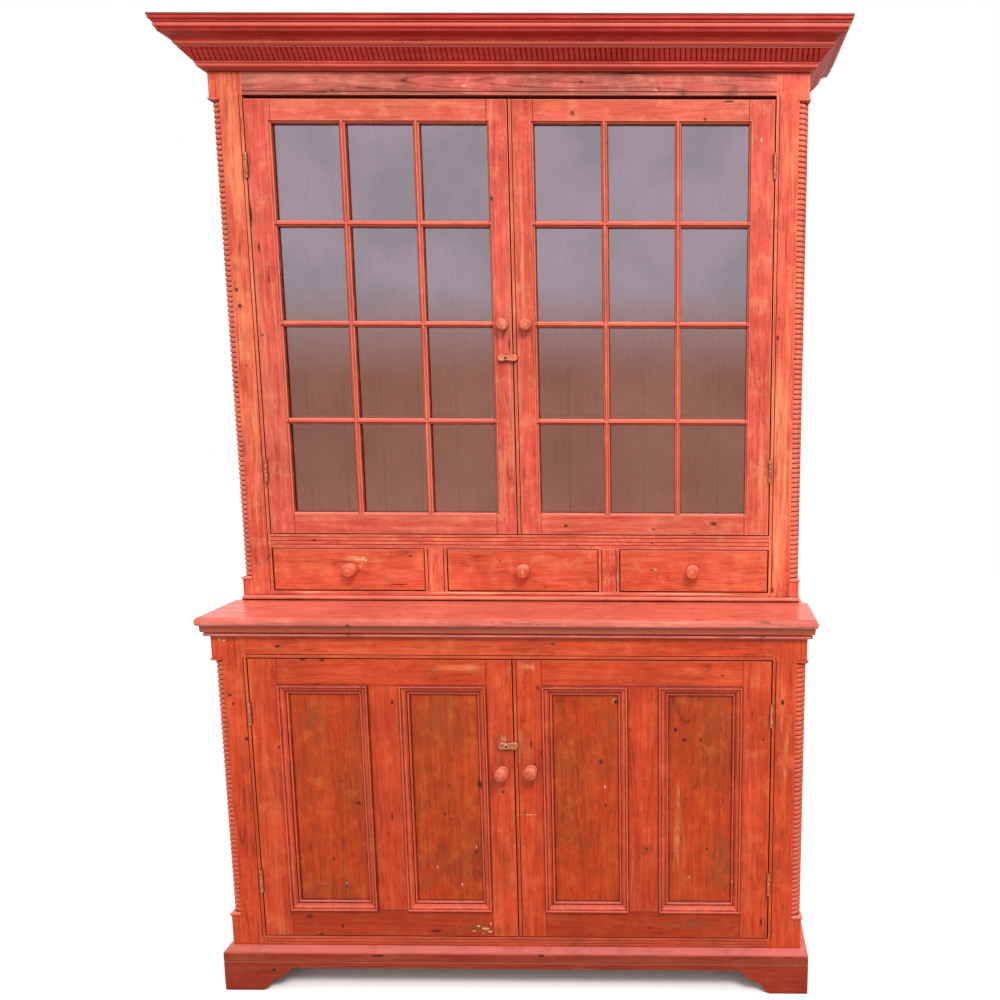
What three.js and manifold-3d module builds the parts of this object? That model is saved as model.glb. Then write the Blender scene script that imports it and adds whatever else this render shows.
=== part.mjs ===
// A painted pine step back cupboard: a glazed upper case with three drawers,
// set back on a deeper lower case with two panelled doors.
// Millimetres, +Z up, the front looks along -Y and +X is the viewer's right.
import * as THREE from "three";
import { mergeGeometries, mergeVertices } from "three/addons/utils/BufferGeometryUtils.js";
import Module from "manifold-3d";

const wasm = await Module();
wasm.setup();

// Driving sizes of the two cases
const totalHeight = 2130;
const upperWidth = 1296;
const caseStep = 3.5;
const upperDepth = 198;
const lowerDepth = 345;
const counterTopHeight = 881;
const sideThickness = 22;
const faceThickness = 22;
const boardThickness = 18;
const backThickness = 12;
const seatGap = 0.3;
const cutOverrun = 6;
const quirkWidth = 2.2;
const quirkDepth = 2;

// Face frame, shared by both cases
const stileWidth = 71;
const doorGap = 3;
const doorThickness = 22;
const edgeBeadWidth = 7;

// Ribbed quarter columns in the outer corners of the stiles
const columnRadius = 22;
const ribDepth = 2.6;
const ribPitch = 11.1;
const ribCrownShare = 0.46;
const columnSides = 12;
const ledgeHeight = 7;
const ledgeReach = 2.5;
const ledgeSquareShare = 0.5;
const upperColumnLift = 55.5;
const upperColumnDrop = 148;
const lowerColumnLift = 78.5;
const lowerColumnDrop = 84;

// Upper case: drops from the top of the cornice, then heights up from the counter
const cornerBlockDrop = 18;
const topBoardThickness = 22;
const upperRailDrop = 134;
const upperDoorHeadGap = 8.5;
const upperDoorFootGap = 2.5;
const waistBoardHeight = 21;
const drawerOpening = 102;
const drawerRailHeight = 32;
const railReedShares = [0.24, 0.5, 0.78];
const railReedWidth = 3.2;
const railReedDepth = 1.6;

// Waist moulding across the foot of the upper case
const waistHeight = 10.5;
const waistReach = 8;

// Glazed doors
const upperMeetingOffset = 4;
const leftSashStile = 45.3;
const rightSashStile = 53.3;
const hingeStile = 55.6;
const sashTopRail = 49.5;
const sashBottomRail = 49.5;
const barWidth = 15;
const barDepth = 12;
const sashMouldWidth = 5.6;
const sashMouldDepth = 6;
const glassThickness = 3;
const glassRebate = 5;
const lightsAcross = 3;
const lightsHigh = 4;

// Drawers and the dividers between them
const leftPostCentre = 195.75;
const leftPostWidth = 50.5;
const rightPostCentre = 206.25;
const rightPostWidth = 47.5;
const leftDrawerKnobOffset = 5.5;
const middleDrawerKnobOffset = 3;
const rightDrawerKnobOffset = 2.5;
const partitionThickness = 18;
const drawerFrontGap = 2;
const drawerSide = 10;
const drawerBottom = 8;
const drawerBottomLift = 6;
const drawerHeadroom = 16.7;
const drawerBackClearance = 6;
const drawerEdgeRound = 1.6;

// Cornice
const corniceHeight = 87;
const corniceReach = 78;
const reedPitch = 11.2;
const reedWidth = 5.2;
const reedDepth = 2.4;

// Counter board
const counterThickness = 19.5;
const counterReach = 26;
const counterSideReach = 20;
const counterBackReach = 5;
const counterMouldHeight = 26.5;
const counterMouldReach = 15;

// Lower case: heights over the base, and the rail under the counter
const caseFootLift = 3;
const bottomRailShow = 21;
const lowerRailHeight = 75.5;
const lowerShelfLift = 335.5;
const lowerMeetingOffset = 6;

// Lower doors: widths of the frame members up to the outer edge of the raised mouldings
const lowerHingeStile = 62;
const lowerMiddleStile = 68;
const leftMiddleOffset = 5.95;
const rightMiddleOffset = 2.25;
const leftMeetingStile = 56.5;
const rightMeetingStile = 62.5;
const lowerTopRail = 58.5;
const lowerBottomRail = 62.5;
const panelMouldWidth = 22.5;
const panelMouldHeight = 6.5;
const panelMouldLap = 8;
const panelThickness = 10;
const panelSink = 7;

// Base with bracket feet
const baseHeight = 103.5;
const baseThickness = 16.5;
const baseBevelFall = 11.5;
const baseLineDrop = 31;
const apronBoard = 46.5;
const footFlat = 70.5;
const footCurveWidth = 70;

// Knobs, turn buttons and hinges
const upperKnobRadius = 14;
const upperKnobReach = 22;
const drawerKnobRadius = 17;
const lowerKnobRadius = 16;
const knobReach = 28;
const knobSides = 14;
const upperLeftKnobInset = 21;
const upperRightKnobInset = 31;
const upperKnobLift = 472.5;
const drawerKnobLift = 51.5;
const lowerLeftKnobLift = 397.5;
const lowerRightKnobLift = 401;
const lowerLeftKnobInset = 26.5;
const lowerRightKnobInset = 37.5;
const buttonLongArm = 18.5;
const buttonShortArm = 10.5;
const buttonLobe = 8.5;
const buttonWaist = 5.5;
const buttonThickness = 9;
const buttonStandoff = 0.6;
const buttonEndSteps = 6;
const upperButtonInset = 15.5;
const upperButtonLift = 400.5;
const lowerButtonInset = 15.5;
const lowerButtonLift = 460.5;
const hingeLength = 57;
const hingeRadius = 3.3;
const hingeLeaf = 1.3;
const hingeLeafDepth = 20;
const hingeSides = 12;
const upperTopHingeDrop = 137.5;
const upperBottomHingeLift = 145.5;
const lowerTopHingeDrop = 124;
const lowerBottomHingeLift = 133.5;

// Back boards
const boardPitch = 92.5;
const boardGrooveWidth = 5;
const boardGrooveDepth = 2;

// Places that follow from the sizes above
const lowerWidth = upperWidth + 2 * caseStep;
const openingHalfWidth = upperWidth / 2 - stileWidth;
const upperFace = -upperDepth;
const lowerFace = -lowerDepth;
const backPlane = -(backThickness + seatGap);
const upperInner = upperWidth / 2 - sideThickness - seatGap;
const lowerInner = lowerWidth / 2 - sideThickness - seatGap;

const apronHeight = baseHeight - apronBoard;
const caseFoot = apronHeight + caseFootLift;
const lowerBoardTop = baseHeight + bottomRailShow;
const lowerCaseTop = counterTopHeight - counterThickness;
const lowerRailBottom = lowerCaseTop - lowerRailHeight;
const lowerDoorTop = lowerRailBottom - doorGap;
const lowerDoorBottom = lowerBoardTop + doorGap;
const lowerShelfTop = lowerBoardTop + lowerShelfLift;

const upperCaseFoot = counterTopHeight + seatGap;
const drawerFloor = counterTopHeight + waistBoardHeight;
const drawerRailBottom = drawerFloor + drawerOpening;
const drawerRailTop = drawerRailBottom + drawerRailHeight;
const cornerBlockTop = totalHeight - cornerBlockDrop;
const upperRailBottom = totalHeight - upperRailDrop;
const upperDoorTop = upperRailBottom - upperDoorHeadGap;
const upperDoorBottom = drawerRailTop + upperDoorFootGap;
const glazedTop = upperDoorTop - sashTopRail;
const glazedBottom = upperDoorBottom + sashBottomRail;

// Points of a mesh closer than this share of the seat gap are one point
const mergeShare = 0.0004;

const paint = (color, roughness = 0.6, metalness = 0) =>
  new THREE.MeshStandardMaterial({ color, roughness, metalness });
const finishes = {
  upper: paint("#d9563f"),
  lower: paint("#c2492d"),
  cornice: paint("#b23a2e"),
  door: paint("#dd5c43"),
  lowerDoor: paint("#c44a2c"),
  inside: paint("#8c4a35", 0.75),
  base: paint("#b8402c"),
  glass: paint("#a9a0a8", 0.08),
  iron: paint("#a8402e", 0.5, 0.4),
  knob: paint("#cf5b3c", 0.45),
};
finishes.glass.transparent = true;
finishes.glass.opacity = 0.35;

const cupboard = new THREE.Group();

// Geometry helpers

// Merged points only, without the flat slivers that a revolved outline leaves on its axis
function clean(geometry) {
  const bare = geometry.clone();
  bare.deleteAttribute("normal");
  bare.deleteAttribute("uv");
  const merged = mergeVertices(bare, seatGap * mergeShare);
  const index = Array.from(merged.index.array);
  const kept = [];
  for (let i = 0; i < index.length; i += 3) {
    const [a, b, c] = index.slice(i, i + 3);
    if (a !== b && b !== c && c !== a) kept.push(a, b, c);
  }
  merged.setIndex(kept);
  return merged;
}

// Joins and cuts work on solids, and take plain geometries too
function toSolid(form) {
  if (form.getMesh) return form;
  const merged = clean(form);
  return new wasm.Manifold(
    new wasm.Mesh({
      numProp: 3,
      vertProperties: new Float32Array(merged.attributes.position.array),
      triVerts: new Uint32Array(merged.index.array),
    }),
  );
}

function toGeometry(form) {
  if (!form.getMesh) return clean(form);
  const mesh = form.getMesh();
  const geometry = new THREE.BufferGeometry();
  geometry.setAttribute("position", new THREE.BufferAttribute(mesh.vertProperties, 3));
  geometry.setIndex(new THREE.BufferAttribute(mesh.triVerts, 1));
  return geometry;
}

const join = (...forms) => forms.map(toSolid).reduce((all, next) => all.add(next));
const cut = (body, ...tools) =>
  tools.map(toSolid).reduce((left, tool) => left.subtract(tool), toSolid(body));
const keep = (body, region) => toSolid(body).intersect(toSolid(region));

// A box from its low and high corners
function block(x0, x1, y0, y1, z0, z1) {
  const box = new THREE.BoxGeometry(x1 - x0, y1 - y0, z1 - z0);
  return box.translate((x0 + x1) / 2, (y0 + y1) / 2, (z0 + z1) / 2);
}

// A closed body through loops of equal point count, with flat ends.
// The plan gives each loop's points in two dimensions, for the end caps.
function loft(loops, plan) {
  const count = loops[0].length;
  const points = loops.flat();
  const index = [];
  for (let level = 0; level + 1 < loops.length; level += 1) {
    for (let i = 0; i < count; i += 1) {
      const a = level * count + i;
      const b = level * count + ((i + 1) % count);
      index.push(a, b, b + count, a, b + count, a + count);
    }
  }
  const flat = plan.map(([u, v]) => new THREE.Vector2(u, v));
  const last = (loops.length - 1) * count;
  const clockwise = THREE.ShapeUtils.isClockWise(flat);
  for (const face of THREE.ShapeUtils.triangulateShape(flat, [])) {
    const [a, b, c] = clockwise ? [...face].reverse() : face;
    index.push(c, b, a, last + a, last + b, last + c);
  }
  const geometry = new THREE.BufferGeometry();
  geometry.setAttribute("position", new THREE.Float32BufferAttribute(points.flat(), 3));
  geometry.setIndex(index);
  return outward(geometry);
}

// Closed ring through equal loops of points, the last one joined to the first
function ring(loops) {
  const count = loops[0].length;
  const index = [];
  for (let level = 0; level < loops.length; level += 1) {
    const next = (level + 1) % loops.length;
    for (let i = 0; i < count; i += 1) {
      const j = (i + 1) % count;
      const [a, b, c, d] = [level * count + i, level * count + j, next * count + j, next * count + i];
      index.push(a, b, c, a, c, d);
    }
  }
  const geometry = new THREE.BufferGeometry();
  geometry.setAttribute("position", new THREE.Float32BufferAttribute(loops.flat(2), 3));
  geometry.setIndex(index);
  return outward(geometry);
}

// Turns a closed mesh inside out when its faces point inwards
function outward(geometry) {
  const p = geometry.attributes.position;
  const index = geometry.index.array;
  const [a, b, c] = [new THREE.Vector3(), new THREE.Vector3(), new THREE.Vector3()];
  let volume = 0;
  for (let i = 0; i < index.length; i += 3) {
    a.fromBufferAttribute(p, index[i]);
    b.fromBufferAttribute(p, index[i + 1]);
    c.fromBufferAttribute(p, index[i + 2]);
    volume += a.dot(b.cross(c));
  }
  if (volume < 0) {
    const turned = Array.from(index);
    for (let i = 0; i < turned.length; i += 3) {
      [turned[i + 1], turned[i + 2]] = [turned[i + 2], turned[i + 1]];
    }
    geometry.setIndex(turned);
  }
  return geometry;
}

// A moulding with an [out, up] outline along the front of a case, mitred at both ends
function frontMoulding(outline, halfWidth, face, trim = 0) {
  const left = outline.map(([out, up]) => [-(halfWidth + out) + trim, face - out, up]);
  const right = outline.map(([out, up]) => [halfWidth + out - trim, face - out, up]);
  return loft([left, right], outline);
}

// A moulding along the front, cut square at the sides of the case
function squareMoulding(outline, halfWidth, face) {
  const at = (x) => outline.map(([out, up]) => [x, face - out, up]);
  return loft([at(-halfWidth), at(halfWidth)], outline);
}

// The mitred moulding along a side, from the mitre back to a square end
function sideMoulding(outline, side, halfWidth, face, back, trim = 0) {
  const front = outline.map(([out, up]) => [side * (halfWidth + out), face - out + trim, up]);
  const rear = outline.map(([out, up]) => [side * (halfWidth + out), back, up]);
  return loft([front, rear], outline);
}

// A level slab built from plan outlines at several heights
function stack(levels, planAt) {
  const loops = levels.map(([inset, z]) => planAt(inset).map(([x, y]) => [x, y, z]));
  return loft(loops, planAt(0));
}

function add(name, form, finish) {
  const mesh = new THREE.Mesh(toGeometry(form), finish);
  mesh.name = name;
  cupboard.add(mesh);
}

const sides = [
  ["left", -1],
  ["right", 1],
];
const mirrorX = (side, a, b) => [Math.min(side * a, side * b), Math.max(side * a, side * b)];

// A ribbed quarter column, its round faces flush with the face and the side of the case
function ribbedColumn(side, halfWidth, face, bottom, top) {
  const ribs = Math.round((top - bottom) / ribPitch);
  const pitch = (top - bottom) / ribs;
  const flank = ((1 - ribCrownShare) / 2) * pitch;
  const profile = [new THREE.Vector2(0, bottom)];
  for (let i = 0; i < ribs; i += 1) {
    const z = bottom + i * pitch;
    profile.push(new THREE.Vector2(columnRadius - ribDepth, z));
    profile.push(new THREE.Vector2(columnRadius, z + flank));
    profile.push(new THREE.Vector2(columnRadius, z + pitch - flank));
  }
  profile.push(new THREE.Vector2(columnRadius - ribDepth, top));
  profile.push(new THREE.Vector2(0, top));
  const round = new THREE.LatheGeometry(profile, columnSides).rotateX(Math.PI / 2);
  const centreX = side * (halfWidth - columnRadius);
  const centreY = face + columnRadius;
  round.translate(centreX, centreY, 0);
  const [x0, x1] = mirrorX(side, halfWidth - columnRadius, halfWidth + cutOverrun);
  return keep(outward(clean(round)), block(x0, x1, face - cutOverrun, centreY, bottom, top));
}

// A small ledge that caps the column at a corner block, bevelled towards the ribs
function columnLedge(side, halfWidth, face, blockLevel, direction) {
  const inner = halfWidth - columnRadius;
  const back = face + columnRadius;
  const planAt = (inset) => {
    const reach = ledgeReach - inset;
    return [
      [side * inner, back],
      [side * (halfWidth + reach), back],
      [side * (halfWidth + reach), face - reach],
      [side * inner, face - reach],
    ];
  };
  const end = blockLevel + direction * ledgeHeight;
  const middle = blockLevel + direction * ledgeHeight * ledgeSquareShare;
  return stack(
    [
      [0, blockLevel],
      [0, middle],
      [ledgeReach + ribDepth, end],
    ],
    planAt,
  );
}

// Face stile: flat board, full corner blocks above and below, ribbed column between
function stile(side, halfWidth, face, levels) {
  const inner = openingHalfWidth;
  const corner = halfWidth - columnRadius;
  const back = face + faceThickness;
  const [bx0, bx1] = mirrorX(side, inner, corner);
  const [cx0, cx1] = mirrorX(side, corner, halfWidth);
  const board = block(bx0, bx1, face, back, levels.foot, levels.top);
  const lowBlock = block(cx0, cx1, face, back, levels.foot, levels.columnBottom - ledgeHeight);
  const highBlock = block(cx0, cx1, face, back, levels.columnTop + ledgeHeight, levels.top);
  const column = ribbedColumn(side, halfWidth, face, levels.columnBottom, levels.columnTop);
  const lowLedge = columnLedge(side, halfWidth, face, levels.columnBottom - ledgeHeight, 1);
  const highLedge = columnLedge(side, halfWidth, face, levels.columnTop + ledgeHeight, -1);
  const body = join(board, lowBlock, highBlock, column, lowLedge, highLedge);
  return cut(body, uprightQuirk(side * (inner + edgeBeadWidth), face, levels.beadFoot, levels.beadTop));
}

// A thin upright quirk that leaves a bead along the edge of a board
function uprightQuirk(x, face, bottom, top) {
  const half = quirkWidth / 2;
  const outline = [
    [x - half, face - cutOverrun],
    [x + half, face - cutOverrun],
    [x + half, face],
    [x, face + quirkDepth],
    [x - half, face],
  ];
  const at = (z) => outline.map(([u, v]) => [u, v, z]);
  return loft([at(bottom), at(top)], outline);
}

// A level quirk as an [out, up] outline, sunk into a surface that stands out by reach
function levelQuirk(z, reach = 0, width = quirkWidth, depth = quirkDepth) {
  return [
    [reach + cutOverrun, z - width / 2],
    [reach, z - width / 2],
    [reach - depth, z],
    [reach, z + width / 2],
    [reach + cutOverrun, z + width / 2],
  ];
}

// Side board behind its stile
function sideBoard(side, halfWidth, face, foot, top) {
  const [x0, x1] = mirrorX(side, halfWidth - sideThickness, halfWidth);
  return block(x0, x1, face + faceThickness + seatGap, 0, foot, top);
}

// Back boards in one wall, with a quirk at each joint
function backBoards(halfWidth, foot, top) {
  const joints = Math.floor(halfWidth / boardPitch);
  const outline = [[-halfWidth, -backThickness]];
  for (let i = -joints; i <= joints; i += 1) {
    const x = i * boardPitch;
    outline.push([x - boardGrooveWidth / 2, -backThickness]);
    outline.push([x, -backThickness + boardGrooveDepth]);
    outline.push([x + boardGrooveWidth / 2, -backThickness]);
  }
  outline.push([halfWidth, -backThickness], [halfWidth, 0], [-halfWidth, 0]);
  const at = (z) => outline.map(([x, y]) => [x, y, z]);
  return loft([at(foot), at(top)], outline);
}

// Upper case

function buildUpperFrame() {
  const half = upperWidth / 2;
  const railX = openingHalfWidth - seatGap;
  const railBack = upperFace + faceThickness;
  const boardFront = railBack + seatGap;
  const levels = {
    foot: upperCaseFoot,
    top: cornerBlockTop,
    columnBottom: counterTopHeight + upperColumnLift,
    columnTop: totalHeight - upperColumnDrop,
    beadFoot: drawerFloor,
    beadTop: upperRailBottom,
  };
  for (const [word, side] of sides) {
    add(`upper_side_${word}`, sideBoard(side, half, upperFace, upperCaseFoot, cornerBlockTop), finishes.upper);
    add(`upper_stile_${word}`, stile(side, half, upperFace, levels), finishes.upper);
  }
  const topFoot = cornerBlockTop - topBoardThickness;
  const topBoard = block(-upperInner, upperInner, boardFront, backPlane, topFoot, cornerBlockTop);
  add("upper_top_board", topBoard, finishes.inside);
  const topRail = block(-railX, railX, upperFace, railBack, upperRailBottom, cornerBlockTop);
  const topQuirk = frontMoulding(levelQuirk(upperRailBottom + edgeBeadWidth), half, upperFace);
  add("upper_top_rail", cut(topRail, topQuirk), finishes.upper);
  add("drawer_deck", drawerDeck(railX, railBack), finishes.upper);
  add("upper_bottom_board", upperBottom(half, railX, railBack), finishes.upper);
  add("upper_backboards", backBoards(upperInner, upperCaseFoot, cornerBlockTop), finishes.inside);
}

// Board over the drawers with its reeded face rail
function drawerDeck(railX, railBack) {
  const rail = block(-railX, railX, upperFace, railBack + cutOverrun, drawerRailBottom, drawerRailTop);
  const board = block(
    -upperInner,
    upperInner,
    railBack + seatGap,
    backPlane,
    drawerRailTop - boardThickness,
    drawerRailTop,
  );
  const quirks = railReedShares.map((share) => {
    const z = drawerRailBottom + share * drawerRailHeight;
    return frontMoulding(levelQuirk(z, 0, railReedWidth, railReedDepth), upperWidth / 2, upperFace);
  });
  return cut(join(rail, board), ...quirks);
}

// Waist moulding as shares of its reach and height
const waistShares = [
  [0, 0],
  [0.5, 0],
  [0.88, 0.2],
  [1, 0.5],
  [0.88, 0.8],
  [0.5, 1],
  [0, 1],
];

// Board under the drawers, its face rail and the half round waist moulding planted on it
function upperBottom(half, railX, railBack) {
  const front = railBack + seatGap;
  const board = block(-upperInner, upperInner, front, backPlane, upperCaseFoot, drawerFloor);
  const rail = block(-railX, railX, upperFace, railBack + cutOverrun, upperCaseFoot, drawerFloor);
  const outline = waistShares.map(([out, up]) => [
    seatGap + out * waistReach,
    upperCaseFoot + up * waistHeight,
  ]);
  const tieTop = upperCaseFoot + waistHeight / 2;
  const tieFront = upperFace - waistReach / 2;
  const tie = block(-railX, railX, tieFront, upperFace + cutOverrun, upperCaseFoot, tieTop);
  return join(board, rail, tie, squareMoulding(outline, half, upperFace));
}

function buildShelves() {
  const front = upperFace + doorThickness + doorGap * 2;
  const pitch = (glazedTop - glazedBottom + barWidth) / lightsHigh;
  for (let i = 1; i < lightsHigh; i += 1) {
    const middle = glazedBottom - barWidth / 2 + i * pitch;
    const shelf = block(
      -upperInner,
      upperInner,
      front,
      backPlane,
      middle - boardThickness / 2,
      middle + boardThickness / 2,
    );
    add(`upper_shelf_${i}`, shelf, finishes.inside);
  }
}

const dividerSpans = [
  ["left", -leftPostCentre - leftPostWidth / 2, -leftPostCentre + leftPostWidth / 2],
  ["right", rightPostCentre - rightPostWidth / 2, rightPostCentre + rightPostWidth / 2],
];

function buildDividers() {
  const railBack = upperFace + faceThickness;
  const top = drawerRailBottom - seatGap;
  const foot = drawerFloor + seatGap;
  const boardTop = drawerRailTop - boardThickness - seatGap;
  const railEnd = railBack + cutOverrun + seatGap;
  for (const [word, x0, x1] of dividerSpans) {
    const board0 = (x0 + x1 - partitionThickness) / 2;
    const board1 = board0 + partitionThickness;
    const post = block(x0, x1, upperFace, railBack, foot, top);
    const board = block(board0, board1, railBack - seatGap, railEnd + seatGap, foot, top);
    const boardBehind = block(board0, board1, railEnd, backPlane, foot, boardTop);
    const beads = [x0 + edgeBeadWidth, x1 - edgeBeadWidth].map((x) =>
      uprightQuirk(x, upperFace, foot - cutOverrun, top + cutOverrun),
    );
    add(`drawer_divider_${word}`, cut(join(post, board, boardBehind), ...beads), finishes.upper);
  }
}

// Cornice outline as shares of its reach and height, from the wall out and upwards
const corniceShares = [
  [0, 0],
  [0.085, 0],
  [0.09, 0.022],
  [0.12, 0.04],
  [0.165, 0.05],
  [0.19, 0.075],
  [0.198, 0.112],
  [0.2, 0.128],
  [0.226, 0.136],
  [0.232, 0.178],
  [0.258, 0.186],
  [0.5, 0.405],
  [0.5, 0.428],
  [0.53, 0.436],
  [0.53, 0.455],
  [0.562, 0.462],
  [0.58, 0.495],
  [0.588, 0.54],
  [0.598, 0.552],
  [0.64, 0.6],
  [0.715, 0.63],
  [0.805, 0.645],
  [0.828, 0.656],
  [0.845, 0.705],
  [0.845, 0.724],
  [0.87, 0.73],
  [0.893, 0.757],
  [0.9, 0.795],
  [0.89, 0.824],
  [0.89, 0.834],
  [0.925, 0.843],
  [0.925, 0.872],
  [0.95, 0.878],
  [0.975, 0.897],
  [0.985, 0.938],
  [0.977, 0.952],
  [0.98, 0.963],
  [1, 0.969],
  [1, 1],
  [0, 1],
];
const reedBand = [10, 11].map((i) => corniceShares[i]);

const cornicePoint = ([out, up]) => [
  seatGap + out * corniceReach,
  totalHeight - (1 - up) * corniceHeight,
];

// Gouges across the band of the cornice, from start to end along one length.
// The run maps a place along the length and a reach to a point in plan.
function reedGouges(run, start, end) {
  const band = reedBand.map(cornicePoint);
  const [low, high] = band.map(([out, up]) => new THREE.Vector2(out, up));
  const along = high.sub(low).normalize();
  const plan = [
    [0, 0],
    [1, 0],
    [0, 1],
  ];
  const count = Math.floor((end - start) / reedPitch);
  const first = (start + end - count * reedPitch) / 2;
  const gouges = [];
  for (let k = 0; k <= count; k += 1) {
    const s = first + k * reedPitch;
    const loops = band.map(([out, up]) => {
      const at = (place, away) => [...run(place, out + along.y * away), up - along.x * away];
      return [at(s - reedWidth / 2, seatGap), at(s + reedWidth / 2, seatGap), at(s, -reedDepth)];
    });
    gouges.push(loft(loops, plan));
  }
  return mergeGeometries(gouges);
}

function buildCornice() {
  const half = upperWidth / 2;
  const outline = corniceShares.map(cornicePoint);
  const reach = cornicePoint(reedBand[0])[0] - reedPitch / 2;
  const front = frontMoulding(outline, half, upperFace, seatGap);
  const frontRun = (x, out) => [x, upperFace - out];
  add("cornice_front", cut(front, reedGouges(frontRun, -half - reach, half + reach)), finishes.cornice);
  for (const [word, side] of sides) {
    const body = sideMoulding(outline, side, half, upperFace, 0, seatGap);
    const sideRun = (y, out) => [side * (half + out), y];
    add(`cornice_${word}`, cut(body, reedGouges(sideRun, upperFace - reach, 0)), finishes.cornice);
  }
}

// Glazed doors

// Meeting edge of a glazed door, and the near and far sides of its lights, measured towards its hinges
function sashSpan(side) {
  const near = doorGap / 2 - side * upperMeetingOffset;
  const glassNear = near + (side < 0 ? leftSashStile : rightSashStile);
  const glassFar = openingHalfWidth - doorGap - hingeStile;
  return { near, glassNear, glassFar };
}

function sashFrame(side) {
  const { near, glassNear, glassFar } = sashSpan(side);
  const [x0, x1] = mirrorX(side, near, openingHalfWidth - doorGap);
  const plate = block(x0, x1, upperFace, upperFace + doorThickness, upperDoorBottom, upperDoorTop);
  const tools = [];
  const lightWidth = (glassFar - glassNear - (lightsAcross - 1) * barWidth) / lightsAcross;
  const lightHeight = (glazedTop - glazedBottom - (lightsHigh - 1) * barWidth) / lightsHigh;
  for (let i = 0; i < lightsAcross; i += 1) {
    for (let k = 0; k < lightsHigh; k += 1) {
      const a = glassNear + i * (lightWidth + barWidth);
      const z = glazedBottom + k * (lightHeight + barWidth);
      const [lx0, lx1] = mirrorX(side, a, a + lightWidth);
      tools.push(lightCutter(lx0, lx1, z, z + lightHeight));
    }
  }
  const [gx0, gx1] = mirrorX(side, glassNear - glassRebate, glassFar + glassRebate);
  tools.push(
    block(
      gx0,
      gx1,
      upperFace + barDepth,
      upperFace + doorThickness + cutOverrun,
      glazedBottom - glassRebate,
      glazedTop + glassRebate,
    ),
  );
  if (side > 0) tools.push(doorQuirk(near, upperFace, upperDoorBottom, upperDoorTop));
  return cut(plate, ...tools);
}

// The quirk beside the meeting edge of a right-hand door
const doorQuirk = (edge, face, bottom, top) =>
  uprightQuirk(edge + edgeBeadWidth, face, bottom - cutOverrun, top + cutOverrun);

// Ovolo of the glazing bars: share of its width left, share of its depth reached
const sashMouldShares = [
  [1, 0],
  [0.7, 0.3],
  [0, 1],
];

// The hole for one light, flared at the face for the ovolo of the bars
function lightCutter(x0, x1, z0, z1) {
  const loopAt = (grow, y) => [
    [x0 - grow, y, z0 - grow],
    [x1 + grow, y, z0 - grow],
    [x1 + grow, y, z1 + grow],
    [x0 - grow, y, z1 + grow],
  ];
  const plan = [
    [x0, z0],
    [x1, z0],
    [x1, z1],
    [x0, z1],
  ];
  const levels = [
    [sashMouldWidth, -cutOverrun],
    ...sashMouldShares.map(([across, deep]) => [across * sashMouldWidth, deep * sashMouldDepth]),
    [0, barDepth + seatGap],
  ];
  return loft(
    levels.map(([grow, depth]) => loopAt(grow, upperFace + depth)),
    plan,
  );
}

function glassSheet(side) {
  const { glassNear, glassFar } = sashSpan(side);
  const lap = glassRebate - seatGap;
  const [x0, x1] = mirrorX(side, glassNear - lap, glassFar + lap);
  const front = upperFace + barDepth + seatGap;
  return block(
    x0,
    x1,
    front,
    front + glassThickness,
    glazedBottom - glassRebate + seatGap,
    glazedTop + glassRebate - seatGap,
  );
}

// Turned mushroom knob on a collar, as shares of its radius and reach
const knobShares = [
  [0, 0],
  [0.8, 0],
  [0.84, 0.07],
  [0.76, 0.14],
  [0.5, 0.2],
  [0.42, 0.36],
  [0.52, 0.46],
  [0.86, 0.54],
  [1, 0.66],
  [0.96, 0.8],
  [0.76, 0.93],
  [0.4, 0.99],
  [0, 1],
];

function knob(x, face, z, radius, reach) {
  const profile = knobShares.map(([r, h]) => new THREE.Vector2(r * radius, h * reach));
  const turned = new THREE.LatheGeometry(profile, knobSides).rotateX(Math.PI);
  return outward(clean(turned.translate(x, face - seatGap, z)));
}

// Wooden turn button: thickness and inset of its outline, as shares
const buttonShares = [
  [0, 0],
  [0.65, 0],
  [1, 0.2],
];
const lobeSweep = 1.2 * Math.PI;

// Wooden turn button with a round lobe at each end and a waist at its screw, its outer edge eased
function turnButton(screwX, face, z) {
  const planAt = (inset) => {
    const [lobe, waist] = [buttonLobe, buttonWaist].map((size) => size * (1 - inset));
    const points = [];
    for (const [reach, middle] of [[buttonLongArm, 0], [-buttonShortArm, Math.PI]]) {
      for (let i = 0; i <= buttonEndSteps; i += 1) {
        const turn = middle + (i / buttonEndSteps - 1 / 2) * lobeSweep;
        points.push([reach + lobe * Math.cos(turn), lobe * Math.sin(turn)]);
      }
      points.push([0, Math.sign(reach) * waist]);
    }
    return points;
  };
  const loops = buttonShares.map(([deep, inset]) => {
    const y = face - buttonStandoff - deep * buttonThickness;
    return planAt(inset).map(([u, v]) => [screwX + u, y, z + v]);
  });
  return loft(loops, planAt(0));
}

function buildUpperDoors() {
  for (const [word, side] of sides) {
    add(`upper_${word}_door_sash`, sashFrame(side), finishes.door);
    add(`upper_${word}_door_glass`, glassSheet(side), finishes.glass);
    const x = side * (side < 0 ? upperLeftKnobInset : upperRightKnobInset) - upperMeetingOffset;
    const z = upperDoorBottom + upperKnobLift;
    const turned = knob(x, upperFace, z, upperKnobRadius, upperKnobReach);
    add(`upper_${word}_door_knob`, turned, finishes.knob);
  }
  const buttonX = -upperMeetingOffset - upperButtonInset;
  const button = turnButton(buttonX, upperFace, upperDoorBottom + upperButtonLift);
  add("upper_turn_button", button, finishes.knob);
}

// Drawers

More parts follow.
